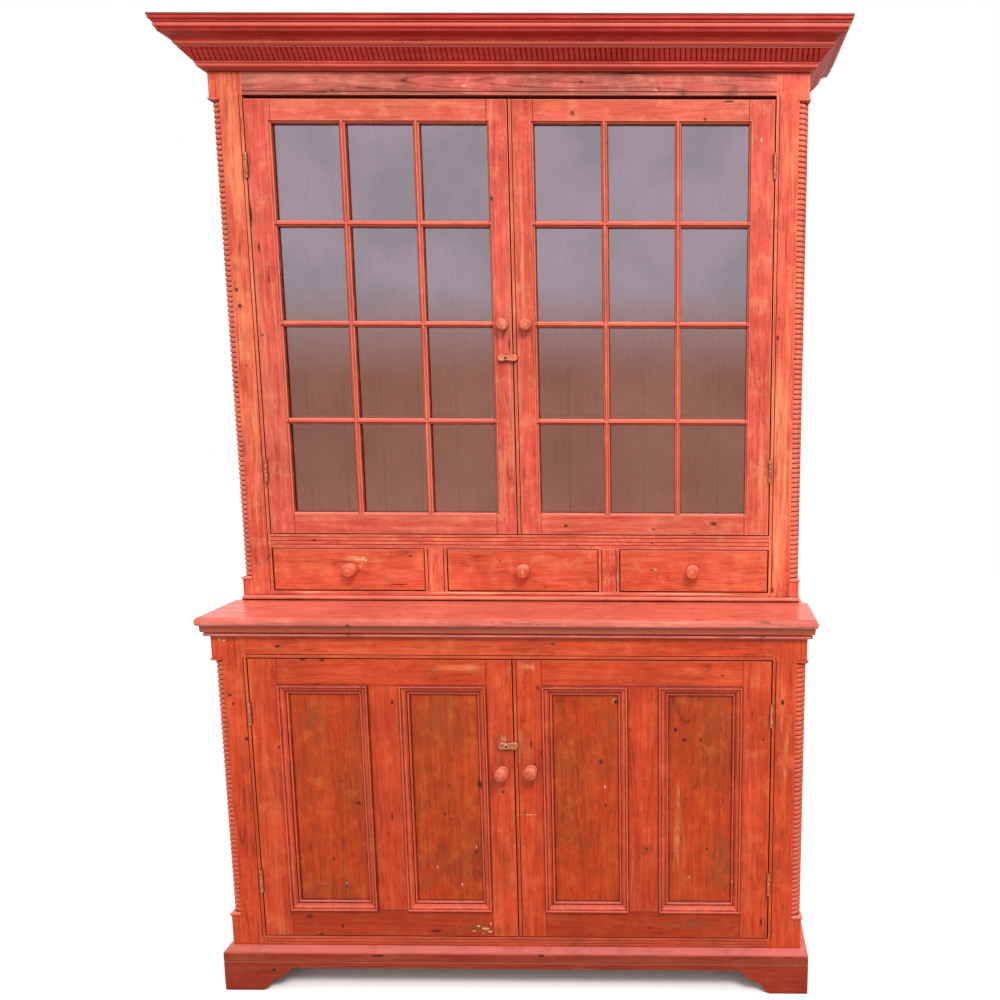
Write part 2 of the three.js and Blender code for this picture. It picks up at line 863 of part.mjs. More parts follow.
function drawer(x0, x1) {
  const front = upperFace;
  const back = upperFace + faceThickness;
  const z0 = drawerFloor + drawerFrontGap;
  const z1 = drawerRailBottom - drawerFrontGap;
  const planAt = (inset) => [
    [x0 + inset, z0 + inset],
    [x1 - inset, z0 + inset],
    [x1 - inset, z1 - inset],
    [x0 + inset, z1 - inset],
  ];
  const loopAt = (inset, y) => planAt(inset).map(([x, z]) => [x, y, z]);
  const face = loft(
    [loopAt(drawerEdgeRound, front), loopAt(0, front + drawerEdgeRound), loopAt(0, back)],
    planAt(0),
  );
  const boxFoot = drawerFloor + seatGap;
  const boxTop = drawerRailBottom - drawerHeadroom;
  const boxBack = backPlane - drawerBackClearance;
  const [box0, box1] = [x0 + drawerFrontGap, x1 - drawerFrontGap];
  const [in0, in1] = [box0 + drawerSide, box1 - drawerSide];
  const inBack = boxBack - drawerSide;
  const bottomFoot = boxFoot + drawerBottomLift;
  const outer = block(box0, box1, back - cutOverrun, boxBack, boxFoot, boxTop);
  const hollow = block(in0, in1, back, inBack, bottomFoot + drawerBottom, boxTop + cutOverrun);
  const under = block(in0, in1, back, inBack, boxFoot - cutOverrun, bottomFoot);
  return join(face, cut(outer, hollow, under));
}

function buildDrawers() {
  const [, leftPost0, leftPost1] = dividerSpans[0];
  const [, rightPost0, rightPost1] = dividerSpans[1];
  const end = openingHalfWidth - doorGap;
  const gap = drawerFrontGap;
  const spans = [
    ["left", -end, leftPost0 - gap, leftDrawerKnobOffset],
    ["middle", leftPost1 + gap, rightPost0 - gap, middleDrawerKnobOffset],
    ["right", rightPost1 + gap, end, -rightDrawerKnobOffset],
  ];
  for (const [word, x0, x1, offset] of spans) {
    add(`drawer_${word}`, drawer(x0, x1), finishes.upper);
    const z = drawerFloor + drawerKnobLift;
    const turned = knob((x0 + x1) / 2 + offset, upperFace, z, drawerKnobRadius, knobReach);
    add(`drawer_${word}_knob`, turned, finishes.knob);
  }
}

// Lower case

function buildLowerCase() {
  const half = lowerWidth / 2;
  const railX = openingHalfWidth - seatGap;
  const railBack = lowerFace + faceThickness;
  const top = lowerCaseTop - seatGap;
  const levels = {
    foot: caseFoot,
    top,
    columnBottom: baseHeight + lowerColumnLift,
    columnTop: lowerCaseTop - lowerColumnDrop,
    beadFoot: lowerBoardTop,
    beadTop: lowerRailBottom,
  };
  for (const [word, side] of sides) {
    add(`lower_side_${word}`, sideBoard(side, half, lowerFace, caseFoot, top), finishes.lower);
    add(`lower_stile_${word}`, stile(side, half, lowerFace, levels), finishes.lower);
  }
  const topRail = block(-railX, railX, lowerFace, railBack, lowerRailBottom, top);
  const topQuirk = frontMoulding(levelQuirk(lowerRailBottom + edgeBeadWidth), half, lowerFace);
  add("lower_top_rail", cut(topRail, topQuirk), finishes.lower);
  const rail = block(-railX, railX, lowerFace, railBack + cutOverrun, caseFoot, lowerBoardTop);
  const front = railBack + seatGap;
  const boardFoot = lowerBoardTop - boardThickness;
  const board = block(-lowerInner, lowerInner, front, backPlane, boardFoot, lowerBoardTop);
  const footQuirks = [1, 2].map((bead) =>
    frontMoulding(levelQuirk(lowerBoardTop - bead * edgeBeadWidth), half, lowerFace),
  );
  add("lower_bottom_board", cut(join(rail, board), ...footQuirks), finishes.lower);
  const shelfFront = railBack + faceThickness;
  const shelfFoot = lowerShelfTop - boardThickness;
  const shelf = block(-lowerInner, lowerInner, shelfFront, backPlane, shelfFoot, lowerShelfTop);
  add("lower_shelf", shelf, finishes.inside);
  add("lower_backboards", backBoards(lowerInner, caseFoot, top), finishes.inside);
}

// Counter edge as shares of its thickness: inset from the nose, height from the underside
const noseShares = [
  [0.38, 0],
  [0.16, 0.06],
  [0.05, 0.18],
  [0.005, 0.36],
  [0, 0.52],
  [0.02, 0.68],
  [0.08, 0.84],
  [0.2, 0.95],
  [0.44, 1],
];

// Moulding under the counter, as shares of its reach and height
const counterMouldShares = [
  [0, 0],
  [0.42, 0],
  [0.58, 0.04],
  [0.68, 0.12],
  [0.7, 0.2],
  [0.66, 0.28],
  [0.56, 0.33],
  [0.56, 0.37],
  [0.86, 0.41],
  [0.95, 0.46],
  [1, 1],
  [0, 1],
];

// The counter's overhang at the sides stops level with the face of the upper case
function buildCounter() {
  const half = lowerWidth / 2;
  const wide = half + counterSideReach;
  const narrow = half + counterBackReach;
  const front = lowerFace - counterReach;
  const planAt = (inset) => [
    [-narrow, 0],
    [-narrow, upperFace - inset],
    [inset - wide, upperFace - inset],
    [inset - wide, front + inset],
    [wide - inset, front + inset],
    [wide - inset, upperFace - inset],
    [narrow, upperFace - inset],
    [narrow, 0],
  ];
  const levels = noseShares.map(([inset, up]) => [
    inset * counterThickness,
    lowerCaseTop + up * counterThickness,
  ]);
  const outline = counterMouldShares.map(([out, up]) => [
    seatGap + out * counterMouldReach,
    lowerCaseTop - counterMouldHeight + up * (counterMouldHeight + seatGap),
  ]);
  const returns = sides.map(([, side]) => sideMoulding(outline, side, half, lowerFace, upperFace));
  const body = join(stack(levels, planAt), frontMoulding(outline, half, lowerFace), ...returns);
  add("counter_top", body, finishes.lower);
}

// Bracket foot outline from the apron down to the floor, as shares of its curve width and height
const footShares = [
  [1, 1],
  [0.92, 0.92],
  [0.81, 0.79],
  [0.72, 0.66],
  [0.6, 0.56],
  [0.42, 0.5],
  [0.33, 0.45],
  [0.27, 0.37],
  [0.21, 0.24],
  [0.11, 0.09],
  [0, 0],
];

// Base board outline along one length: feet at both ends, apron between
function baseOutline(length) {
  const left = footShares.map(([u, v]) => [footFlat + u * footCurveWidth, v * apronHeight]);
  const start = [...left].reverse();
  const end = left.map(([u, v]) => [length - u, v]);
  return [[0, 0], ...start, ...end, [length, 0], [length, baseHeight], [0, baseHeight]];
}

// Bevel of the top edge: reach as a share of the thickness, height as a share of the fall
const baseBevelShares = [
  [0, 0],
  [0.12, 0.03],
  [0.55, 0.36],
  [0.84, 0.66],
  [0.96, 0.85],
  [1, 1],
];

function buildBase() {
  const half = lowerWidth / 2;
  const layers = baseBevelShares.map(([out, drop]) => [
    seatGap + out * baseThickness,
    drop * baseBevelFall,
  ]);
  const line = levelQuirk(baseHeight - baseLineDrop, seatGap + baseThickness);
  const frontPlan = baseOutline(lowerWidth);
  const frontLoops = layers.map(([out, drop]) =>
    frontPlan.map(([u, v]) => {
      const mitre = u === 0 ? seatGap - out : u === lowerWidth ? out - seatGap : 0;
      return [u - half + mitre, lowerFace - out, v === baseHeight ? v - drop : v];
    }),
  );
  const front = cut(loft(frontLoops, frontPlan), frontMoulding(line, half, lowerFace));
  add("base_front", front, finishes.base);
  const sidePlan = baseOutline(lowerDepth);
  for (const [word, side] of sides) {
    const loops = layers.map(([out, drop]) =>
      sidePlan.map(([u, v]) => {
        const mitre = u === 0 ? seatGap - out : 0;
        return [side * (half + out), lowerFace + u + mitre, v === baseHeight ? v - drop : v];
      }),
    );
    const scribed = sideMoulding(line, side, half, lowerFace, cutOverrun);
    add(`base_${word}`, cut(loft(loops, sidePlan), scribed), finishes.base);
  }
}

// Lower doors

// Raised panel moulding: distance in from its outer edge and height over the frame face, as shares
const panelMouldShares = [
  [0, 0],
  [0, 0.72],
  [0.04, 0.95],
  [0.12, 1],
  [0.2, 0.9],
  [0.24, 0.62],
  [0.42, 0.4],
  [0.58, 0.06],
  [0.7, -0.2],
  [0.72, -0.48],
  [0.8, -0.4],
  [0.9, -0.46],
  [1, -0.86],
];

function panelWithMoulding(x0, x1, z0, z1) {
  const face = lowerFace;
  const front = face + panelSink;
  const lap = panelMouldLap + seatGap;
  const rim = lap + seatGap;
  const board = block(x0 + rim, x1 - rim, front, front + panelThickness, z0 + rim, z1 - rim);
  const rise = panelMouldShares.map(([across, up]) => [
    across * panelMouldWidth,
    face - seatGap - up * panelMouldHeight,
  ]);
  const inside = front + seatGap;
  const section = [...rise, [panelMouldWidth, inside], [lap, inside], [lap, face - seatGap]];
  const corners = [
    [x0, z0, 1, 1],
    [x1, z0, -1, 1],
    [x1, z1, -1, -1],
    [x0, z1, 1, -1],
  ];
  const loops = corners.map(([x, z, sx, sz]) => section.map(([w, y]) => [x + sx * w, y, z + sz * w]));
  return join(board, ring(loops));
}

function lowerDoor(side) {
  const meeting = lowerMeetingOffset + (side * doorGap) / 2;
  const outer = side * (openingHalfWidth - doorGap);
  const nearStile = side < 0 ? leftMeetingStile : rightMeetingStile;
  const near = meeting + side * nearStile;
  const far = outer - side * lowerHingeStile;
  const middle = (meeting + outer) / 2 + (side < 0 ? leftMiddleOffset : rightMiddleOffset);
  const middleHalf = (side * lowerMiddleStile) / 2;
  const panelTop = lowerDoorTop - lowerTopRail;
  const panelFoot = lowerDoorBottom + lowerBottomRail;
  const [a, b, c, d] = [near, middle - middleHalf, middle + middleHalf, far];
  const spans = [
    [Math.min(a, b), Math.max(a, b)],
    [Math.min(c, d), Math.max(c, d)],
  ];
  const back = lowerFace + doorThickness;
  const [x0, x1] = [Math.min(meeting, outer), Math.max(meeting, outer)];
  const plate = block(x0, x1, lowerFace, back, lowerDoorBottom, lowerDoorTop);
  const lap = panelMouldLap;
  const front = lowerFace - cutOverrun;
  const holes = spans.map(([p, q]) =>
    block(p + lap, q - lap, front, back + cutOverrun, panelFoot + lap, panelTop - lap),
  );
  if (side > 0) holes.push(doorQuirk(meeting, lowerFace, lowerDoorBottom, lowerDoorTop));
  const panels = spans.map(([x0, x1]) => panelWithMoulding(x0, x1, panelFoot, panelTop));
  return { frame: cut(plate, ...holes), panels };
}

function buildLowerDoors() {
  for (const [word, side] of sides) {
    const { frame, panels } = lowerDoor(side);
    add(`lower_${word}_door_frame`, frame, finishes.lowerDoor);
    add(`lower_${word}_door_inner_panel`, panels[0], finishes.lowerDoor);
    add(`lower_${word}_door_outer_panel`, panels[1], finishes.lowerDoor);
    const inset = side < 0 ? lowerLeftKnobInset : lowerRightKnobInset;
    const lift = side < 0 ? lowerLeftKnobLift : lowerRightKnobLift;
    const x = lowerMeetingOffset + side * inset;
    const turned = knob(x, lowerFace, lowerDoorBottom + lift, lowerKnobRadius, knobReach);
    add(`lower_${word}_door_knob`, turned, finishes.knob);
  }
  const buttonX = lowerMeetingOffset - lowerButtonInset;
  const button = turnButton(buttonX, lowerFace, lowerDoorBottom + lowerButtonLift);
  add("lower_turn_button", button, finishes.knob);
}

// Butt hinges: barrel proud of the face, leaf let in beside the stile

function hinge(side, face, z) {
  const x = side * (openingHalfWidth - doorGap / 2);
  const y = face - hingeRadius - seatGap;
  const barrel = new THREE.CylinderGeometry(hingeRadius, hingeRadius, hingeLength, hingeSides);
  barrel.rotateX(Math.PI / 2).translate(x, y, z);
  const leafOuter = openingHalfWidth - seatGap;
  const [x0, x1] = mirrorX(side, leafOuter - hingeLeaf, leafOuter);
  const leaf = block(x0, x1, y, face + hingeLeafDepth, z - hingeLength / 2, z + hingeLength / 2);
  return join(barrel, leaf);
}

function buildHinges() {
  const places = [
    ["upper", "top", upperFace, upperDoorTop - upperTopHingeDrop],
    ["upper", "bottom", upperFace, upperDoorBottom + upperBottomHingeLift],
    ["lower", "top", lowerFace, lowerDoorTop - lowerTopHingeDrop],
    ["lower", "bottom", lowerFace, lowerDoorBottom + lowerBottomHingeLift],
  ];
  for (const [word, side] of sides) {
    for (const [storey, end, face, z] of places) {
      add(`${storey}_${word}_hinge_${end}`, hinge(side, face, z), finishes.iron);
    }
  }
}

buildUpperFrame();
buildShelves();
buildDividers();
buildCornice();
buildUpperDoors();
buildDrawers();
buildLowerCase();
buildCounter();
buildBase();
buildLowerDoors();
buildHinges();

// The origin stands on the floor under the middle of the whole piece
cupboard.position.y = (lowerDepth + seatGap + knobReach) / 2;

export default cupboard;
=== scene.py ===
import bpy
import bmesh
import math
from mathutils import Matrix, Vector


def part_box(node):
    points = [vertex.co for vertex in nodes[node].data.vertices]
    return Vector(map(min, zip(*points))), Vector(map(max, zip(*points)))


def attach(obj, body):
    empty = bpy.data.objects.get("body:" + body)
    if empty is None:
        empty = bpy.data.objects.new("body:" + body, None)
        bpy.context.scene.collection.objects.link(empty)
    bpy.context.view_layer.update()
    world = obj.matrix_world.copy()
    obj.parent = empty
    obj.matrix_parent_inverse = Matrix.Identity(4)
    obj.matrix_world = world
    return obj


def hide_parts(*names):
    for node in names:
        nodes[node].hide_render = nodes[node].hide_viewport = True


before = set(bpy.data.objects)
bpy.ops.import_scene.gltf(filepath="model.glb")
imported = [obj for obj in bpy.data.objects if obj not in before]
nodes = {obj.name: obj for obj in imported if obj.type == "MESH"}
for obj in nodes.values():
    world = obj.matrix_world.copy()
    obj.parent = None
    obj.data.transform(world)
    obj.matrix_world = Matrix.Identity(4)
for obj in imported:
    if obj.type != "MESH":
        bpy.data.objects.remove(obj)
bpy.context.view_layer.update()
print("frame loaded")

mm = 0.001
sides = (("left", -1), ("right", 1))

# Camera at the photograph's place. The picture was cropped off centre, hence the shift.
cameraView = {
    "place": (0.397, -2.01585, 1.3666),
    "yaw": -0.292,
    "pitch": 8.33,
    "roll": 0.2145,
    "focalShare": 0.88,      # focal length over the picture's width
    "shift": (-0.1868, 0.02),
    "sensor": 36,
    "clip": (0.05, 60),
}


def makeCamera(view):
    yaw, pitch, roll = (math.radians(view[k]) for k in ("yaw", "pitch", "roll"))
    ahead = Vector((math.sin(yaw) * math.cos(pitch), math.cos(yaw) * math.cos(pitch), -math.sin(pitch)))
    level = Vector((math.cos(yaw), -math.sin(yaw), 0))
    up = level.cross(ahead)
    right = level * math.cos(roll) + up * math.sin(roll)
    top = -level * math.sin(roll) + up * math.cos(roll)
    turn = Matrix((right, top, -ahead)).transposed().to_4x4()
    data = bpy.data.cameras.new("camera")
    data.sensor_width = view["sensor"]
    data.lens = view["focalShare"] * view["sensor"]
    data.shift_x, data.shift_y = view["shift"]
    data.clip_start, data.clip_end = view["clip"]
    camera = bpy.data.objects.new("camera", data)
    camera.matrix_world = Matrix.Translation(view["place"]) @ turn
    bpy.context.scene.collection.objects.link(camera)
    bpy.context.scene.camera = camera


makeCamera(cameraView)
print("camera placed")


# Materials

def hexColour(text):
    parts = [int(text[i:i + 2], 16) / 255 for i in (1, 3, 5)]
    return [c / 12.92 if c <= 0.04045 else ((c + 0.055) / 1.055) ** 2.4 for c in parts] + [1]


def addNode(tree, kind, inputs=None, **settings):
    node = tree.nodes.new("ShaderNode" + kind)
    for key, value in settings.items():
        setattr(node, key, value)
    for key, value in (inputs or {}).items():
        if isinstance(value, bpy.types.NodeSocket):
            tree.links.new(value, node.inputs[key])
        else:
            node.inputs[key].default_value = value
    return node


def newMaterial(name):
    material = bpy.data.materials.new(name)
    material.use_nodes = True
    material.node_tree.nodes.clear()
    return material, material.node_tree


def mixColours(tree, share, first, second):
    return addNode(tree, "Mix", {0: share, 6: first, 7: second}, data_type="RGBA").outputs[2]


def ramped(tree, value, low, high, top=1.0, bottom=0.0):
    return addNode(tree, "MapRange", {0: value, 1: low, 2: high, 3: bottom, 4: top}, clamp=True).outputs[0]


def combined(tree, first, second, how="MAXIMUM", clamp=True):
    return addNode(tree, "Math", {0: first, 1: second}, operation=how, use_clamp=clamp).outputs[0]


def multiplied(tree, first, second):
    return combined(tree, first, second, "MULTIPLY")


# The next three may pass 0 or 1, where combined stops unless it is told not to
def summed(tree, first, second):
    return combined(tree, first, second, "ADD", clamp=False)


def less(tree, first, second):
    return combined(tree, first, second, "SUBTRACT", clamp=False)


def folded(tree, value, span):
    return combined(tree, value, span, "PINGPONG", clamp=False)


def axes(tree, vector):
    return addNode(tree, "SeparateXYZ", {0: vector}).outputs


def noise(tree, place, size, detail, roughness=0.5, distortion=0):
    return addNode(tree, "TexNoise", {0: place, "Scale": 1 / (size * mm), "Detail": detail,
                                      "Roughness": roughness, "Distortion": distortion}).outputs[0]


# 1 on open surfaces, less within reach of others
def openness(tree, reach, samples, **more):
    near = addNode(tree, "AmbientOcclusion", {"Distance": reach * mm}, samples=samples, **more)
    return near.outputs["AO"]


# Distance from a place in units of its half width and half height, seen from the front, in mm
def awayFrom(tree, place, x=0, z=0, halfWidth=1, halfHeight=1, how="LENGTH"):
    scale = (1 / (halfWidth * mm), 0, 1 / (halfHeight * mm))
    shift = (-x / halfWidth, 0, -z / halfHeight)
    moved = addNode(tree, "Mapping", {0: place, 1: shift, 3: scale}).outputs[0]
    away = addNode(tree, "VectorMath", {0: moved}, operation=how)
    return away.outputs["Value" if how == "LENGTH" else "Vector"]


# A board of a frame: 1 inside its span, and the thin open joints at its ends or its long sides
def boardMasks(tree, place, board):
    x0, x1, z0, z1 = board["span"]
    half = ((x1 - x0) / 2, (z1 - z0) / 2)
    away = awayFrom(tree, place, (x0 + x1) / 2, (z0 + z1) / 2, *half, how="ABSOLUTE")
    parts = axes(tree, away)
    inside = combined(tree, combined(tree, parts[0], parts[2], clamp=False), 1.0, "LESS_THAN")
    ends, along = (0, 2) if board.get("joint", "x") == "x" else (2, 0)
    thin = jointHalf / half[ends // 2]
    gap = addNode(tree, "Math", {0: parts[ends], 1: 1.0, 2: thin}, operation="COMPARE").outputs[0]
    return inside, multiplied(tree, gap, combined(tree, parts[along], 1.0, "LESS_THAN"))


# How far a point lies inside the edge of a rectangle, seen from the front, in mm
def insetFrom(tree, place, span):
    x0, x1, z0, z1 = span
    parts = axes(tree, awayFrom(tree, place, (x0 + x1) / 2, (z0 + z1) / 2, how="ABSOLUTE"))
    fromSides = less(tree, (x1 - x0) / 2, parts[0])
    fromEnds = less(tree, (z1 - z0) / 2, parts[2])
    return combined(tree, fromSides, fromEnds, "MINIMUM", clamp=False)


# How far a point lies from the edge of the nearest light, for lights set at a pitch behind bars, in mm
def outsideLights(tree, place, grid):
    away = axes(tree, awayFrom(tree, place, how="ABSOLUTE"))
    half = grid["bar"] / 2
    across = folded(tree, less(tree, away[0], grid["near"] - half), grid["width"] / 2)
    up = folded(tree, less(tree, away[2], grid["low"] - half), grid["height"] / 2)
    return less(tree, half, combined(tree, across, up, "MINIMUM", clamp=False))


# Lines at set distances: painted shade in the quirks of a moulding, and painted highlights and rubbed paint
# on its beads
def lined(tree, colour, away, lines, colours, ragged, where=1.0):
    for at, half, share, key in lines:
        line = addNode(tree, "Math", {0: away, 1: at, 2: half}, operation="COMPARE").outputs[0]
        cover = multiplied(tree, multiplied(tree, line, where), multiplied(tree, ragged, share))
        colour = mixColours(tree, cover, colour, colours[key])
    return colour


# The nearest of a list of spots, as a distance field that a noise can fray
def nearest(tree, place, spots):
    field = None
    for spot in spots:
        away = awayFrom(tree, place, *spot)
        field = away if field is None else combined(tree, field, away, "MINIMUM", clamp=False)
    return field


jointHalf = 0.7      # half width of an open joint between two boards, mm

# How much of each thing a board shows, where its finish says nothing else
plainPine = {"mottle": 0.38, "streak": 0.5, "flecks": 0.34, "cracks": 0.4, "rings": 15, "clean": 0.34,
             "slopes": 0.3, "dustAndSheen": 0.5, "crevice": 0.88, "gloss": 0.18, "flecked": 0}

# Colours of the red milk paint on each part of the case and how much of it is rubbed away. The panel's
# field and the bare backs lend only their colours to another finish.
pineFinish = {
    "upper": {"paint": "#e15a45", "deep": "#b63e2c", "wood": "#ed9869", "dark": "#430805", "wear": 0.7,
              "rough": 0.5},
    "upperLeftDoor": {"paint": "#d75647", "deep": "#b14031", "wood": "#e4926b", "dark": "#430805",
                      "wear": 0.6, "rough": 0.48},
    "upperRightDoor": {"paint": "#d55342", "deep": "#b03f2d", "wood": "#df9169", "dark": "#430805",
                       "wear": 0.6, "rough": 0.48},
    "drawer": {"paint": "#d8573c", "deep": "#b8412a", "wood": "#e28558", "dark": "#4a0a05", "wear": 0.3,
               "rough": 0.42, "clean": 0.72, "streak": 0.3, "flecks": 0.4},
    "topRail": {"paint": "#d15c4e", "deep": "#8e483f", "wood": "#db977a", "dark": "#3d120e", "wear": 0.6,
                "rough": 0.6, "cracks": 0.9, "rings": 22},
    "lower": {"paint": "#d04623", "deep": "#a9381c", "wood": "#dd7046", "dark": "#3c0603", "wear": 0.38,
              "rough": 0.48, "clean": 0.1},
    "panel": {"paint": "#ba3a16", "deep": "#8f3a19", "wood": "#c3612a", "mottle": 0.5},
    "cornice": {"paint": "#e44338", "deep": "#a8271f", "wood": "#ef7762", "dark": "#330503", "wear": 0.15,
                "rough": 0.42, "gloss": 0.2, "dustAndSheen": 0.3},
    "counter": {"paint": "#dd5f50", "deep": "#b14335", "wood": "#e69176", "dark": "#3c0603", "wear": 0.3,
                "rough": 0.27, "gloss": 0.4, "flecks": 0.5, "cracks": 0.9, "dustAndSheen": 0.0, "flecked": 0.6},
    "base": {"paint": "#ad3f2f", "deep": "#7f3024", "wood": "#c26d4e", "dark": "#2e0603", "wear": 0.4,
             "rough": 0.42, "gloss": 0.12, "dustAndSheen": 0.4},
    "inside": {"paint": "#b8786e", "deep": "#8c4c42", "wood": "#c08c7c", "dark": "#2c120e", "wear": 0.3,
               "rough": 0.7, "crevice": 0.97, "dustAndSheen": 0.0},
    "bare": {"paint": "#a5835c", "deep": "#866643", "wood": "#ba9a70"},
    "button": {"paint": "#b5623e", "deep": "#83432a", "wood": "#e0a878", "dark": "#2e0b05", "wear": 0.8,
               "rough": 0.5},
    "knob": {"paint": "#da5f45", "deep": "#b4472f", "wood": "#f0a47c", "dark": "#430c07", "wear": 0.7,
             "rough": 0.34},
}
# Colours of real stains and marks, and the pale pink of dust and painted sheen
stainsAndSheen = {"olive": "#6f4a26", "pale": "#f0b48c", "rubbed": "#e49c66", "knot": "#3a1208", "dustAndSheen": "#ee8478"}

# How the grain is drawn out along a board, and the shift that gives each board its own grain
stretched = {"z": (1, 1, 0.06), "x": (0.06, 1, 1), "y": (1, 0.06, 1)}
dashed = {"z": (1, 0.8, 0.4), "x": (0.4, 0.8, 1), "y": (1, 0.4, 0.8)}
boardShift = (0.37, 0.19, 0.53)

# Noise in the paint and the grain: if it follows the grain, size in mm, detail, roughness and
# distortion. The finest is coarser than real grain, so that it shows in the picture.
paintNoise = {
    "clouds": (False, 166.7, 3, 0.6),
    "mottles": (False, 37.04, 6, 0.66),
    "patches": (True, 62.5, 4, 0.6),
    "streaks": (True, 12.5, 5, 0.7),
    "threads": (True, 4.348, 4, 0.75),
    "grit": (False, 3.03, 3, 0.7),
    "growth": (True, 125, 2, 0.45, 0.5),
}

# Coats laid one over another: their noise, where each begins and is full, how strong it is, and its colour
paintCoats = (
    ("clouds", 0.4, 0.64, 0.7, "deep"),
    ("mottles", 0.5, 0.64, "mottle", "deep"),
    ("mottles", 0.48, 0.34, "mottle", "wood"),
    ("streaks", 0.52, 0.68, "streak", "deep"),
    ("streaks", 0.46, 0.32, "scuff", "wood"),
    ("threads", 0.54, 0.68, 0.46, "dark"),
    ("threads", 0.46, 0.32, "flecks", "wood"),
)

# Flecks of dirt and worm holes: how far apart in mm, how wide as a share of that, and how much fewer
# there are than the finish says. A cell whose width is below 0 stays empty.
speckKinds = {"specks": {"apart": 25, "width": 0.09, "fewer": 0},
              "pits": {"apart": 10.526, "width": 0.15, "fewer": 0.12}}
speckRim = {"empty": -0.02, "chipped": 0.7, "soft": 0.012}

# Where each cover begins and where it is full, then how strong it is there and how strong elsewhere:
# in a noise, across a ring, by the way a face looks or by how open its place is
fades = {
    "speckChips": (0.3, 0.7), "fleckThreads": (0.4, 0.32), "fleckPlaces": (0.5, 0.6), "figured": (0.4, 0.6),
    "ring": (0.16, 0.02), "crack": (0.03, 0.012), "crackPlaces": (0.5, 0.58), "handled": (0.5, 0.36),
    "brushed": (0.6, 0.42), "edge": (0.86, 0.55), "edgePlaces": (0.4, 0.56, 0.85, 0.25),
    "slope": (0.95, 0.7), "ledge": (0.2, 0.8), "ledgePlaces": (0.36, 0.5, 1, 0.5),
    "underside": (-0.2, -0.8, 0.5), "ragged": (0.36, 0.52, 1, 0.55), "fronted": (0.1, -0.05),
    "patchy": (0.4, 0.58, 1, 0.15), "corner": (0.66, 0.15, 0.7), "sheen": (0.3, 0.7),
}

# Shares of the wear in broad patches, of the streaks in scuffs, of the dirt in dents and open joints and of
# the painted shade in crevices, the rise and fall of the roughness, and how deep specks, rings and joints
# are sunk
shares = {"handled": 0.7, "scuffed": 0.6, "dirty": 0.8, "crevice": (0.42, 0.95), "sheen": (0.12, 0.06),
          "relief": 0.4, "sunk": (0.5, 0.3, 1.0)}

# For each kind of mark: where its fade ends, how strongly it covers the paint, how frayed and if patchy
markLooks = (("olive", 0.1, 0.5, 3.2, True), ("rubbed", 0.0, 0.5, 6, True), ("pale", 0.4, 0.75, 5, False),
             ("knot", 0.35, 0.9, 3.4, False))

# Distances over which painted shade darkens corners and crevices and paint rubs off edges, mm
reaches = {"corner": 14, "crevice": 3.4, "edge": 2.4, "round": 0.45, "bump": 0.7}


# A few of the cells of a Voronoi pattern, with frayed rims
def speckled(tree, place, along, frayed, clean, kind):
    drawn = addNode(tree, "Mapping", {0: place, 3: dashed[along]}).outputs[0]
    cells = addNode(tree, "TexVoronoi", {0: drawn, "Scale": 1 / (kind["apart"] * mm)}).outputs
    pick = addNode(tree, "SeparateColor", {0: cells["Color"]}).outputs[0]
    size = ramped(tree, pick, clean + kind["fewer"], 1.0, kind["width"], speckRim["empty"])
    chips = ramped(tree, frayed, *fades["speckChips"], kind["width"] * speckRim["chipped"])
    chipped = summed(tree, cells["Distance"], chips)
    return ramped(tree, less(tree, size, chipped), 0, speckRim["soft"])


# The finish's colours, changed on the field of a panel or on the bare outside of a back board
def pigments(tree, place, facing, look, field, bare):
    colours = {key: hexColour(look[key]) for key in ("paint", "deep", "wood", "dark")}
    colours["dustAndSheen"] = hexColour(stainsAndSheen["dustAndSheen"])
    mottle = look["mottle"]
    changes = []
    if bare:
        changes.append((combined(tree, facing[1], 0.5, "GREATER_THAN"), pineFinish[bare]))
    if field:
        inside = boardMasks(tree, place, field)[0]
        other = pineFinish[field["finish"]]
        changes.append((inside, other))
        mottle = combined(tree, multiplied(tree, inside, other["mottle"] - mottle), mottle, "ADD")
    for share, other in changes:
        for key in ("paint", "deep", "wood"):
            colours[key] = mixColours(tree, share, colours[key], hexColour(other[key]))
    return colours, mottle


# Grain along each board, with a shift of its own, and the joints between them
def boardGrain(tree, place, along, boards):
    grain = addNode(tree, "Mapping", {0: place, 3: stretched[along]}).outputs[0]
    joints, insides = None, []
    for count, board in enumerate(boards, 1):
        inside, joint = boardMasks(tree, place, board)
        shift = [s * count for s in boardShift]
        turned = addNode(tree, "Mapping", {0: place, 1: shift, 3: stretched[board["along"]]}).outputs[0]
        grain = addNode(tree, "Mix", {0: inside, 4: grain, 5: turned}, data_type="VECTOR").outputs[1]
        if board.get("jointed", True):
            joints = joint if joints is None else combined(tree, joints, joint)
        insides.append(inside)
    return grain, joints, insides


# Clouds, mottles and brush streaks of the paint
def coated(tree, colours, layers, amounts):
    colour = colours["paint"]
    for key, low, high, share, over in paintCoats:
        cover = ramped(tree, layers[key], low, high, amounts.get(share, share))
        colour = mixColours(tree, cover, colour, colours[over])
    if amounts["flecked"]:
        flecks = multiplied(tree, ramped(tree, layers["threads"], *fades["fleckThreads"]),
                            ramped(tree, layers["mottles"], *fades["fleckPlaces"], amounts["flecked"]))
        colour = mixColours(tree, flecks, colour, hexColour(stainsAndSheen["pale"]))
    return colour


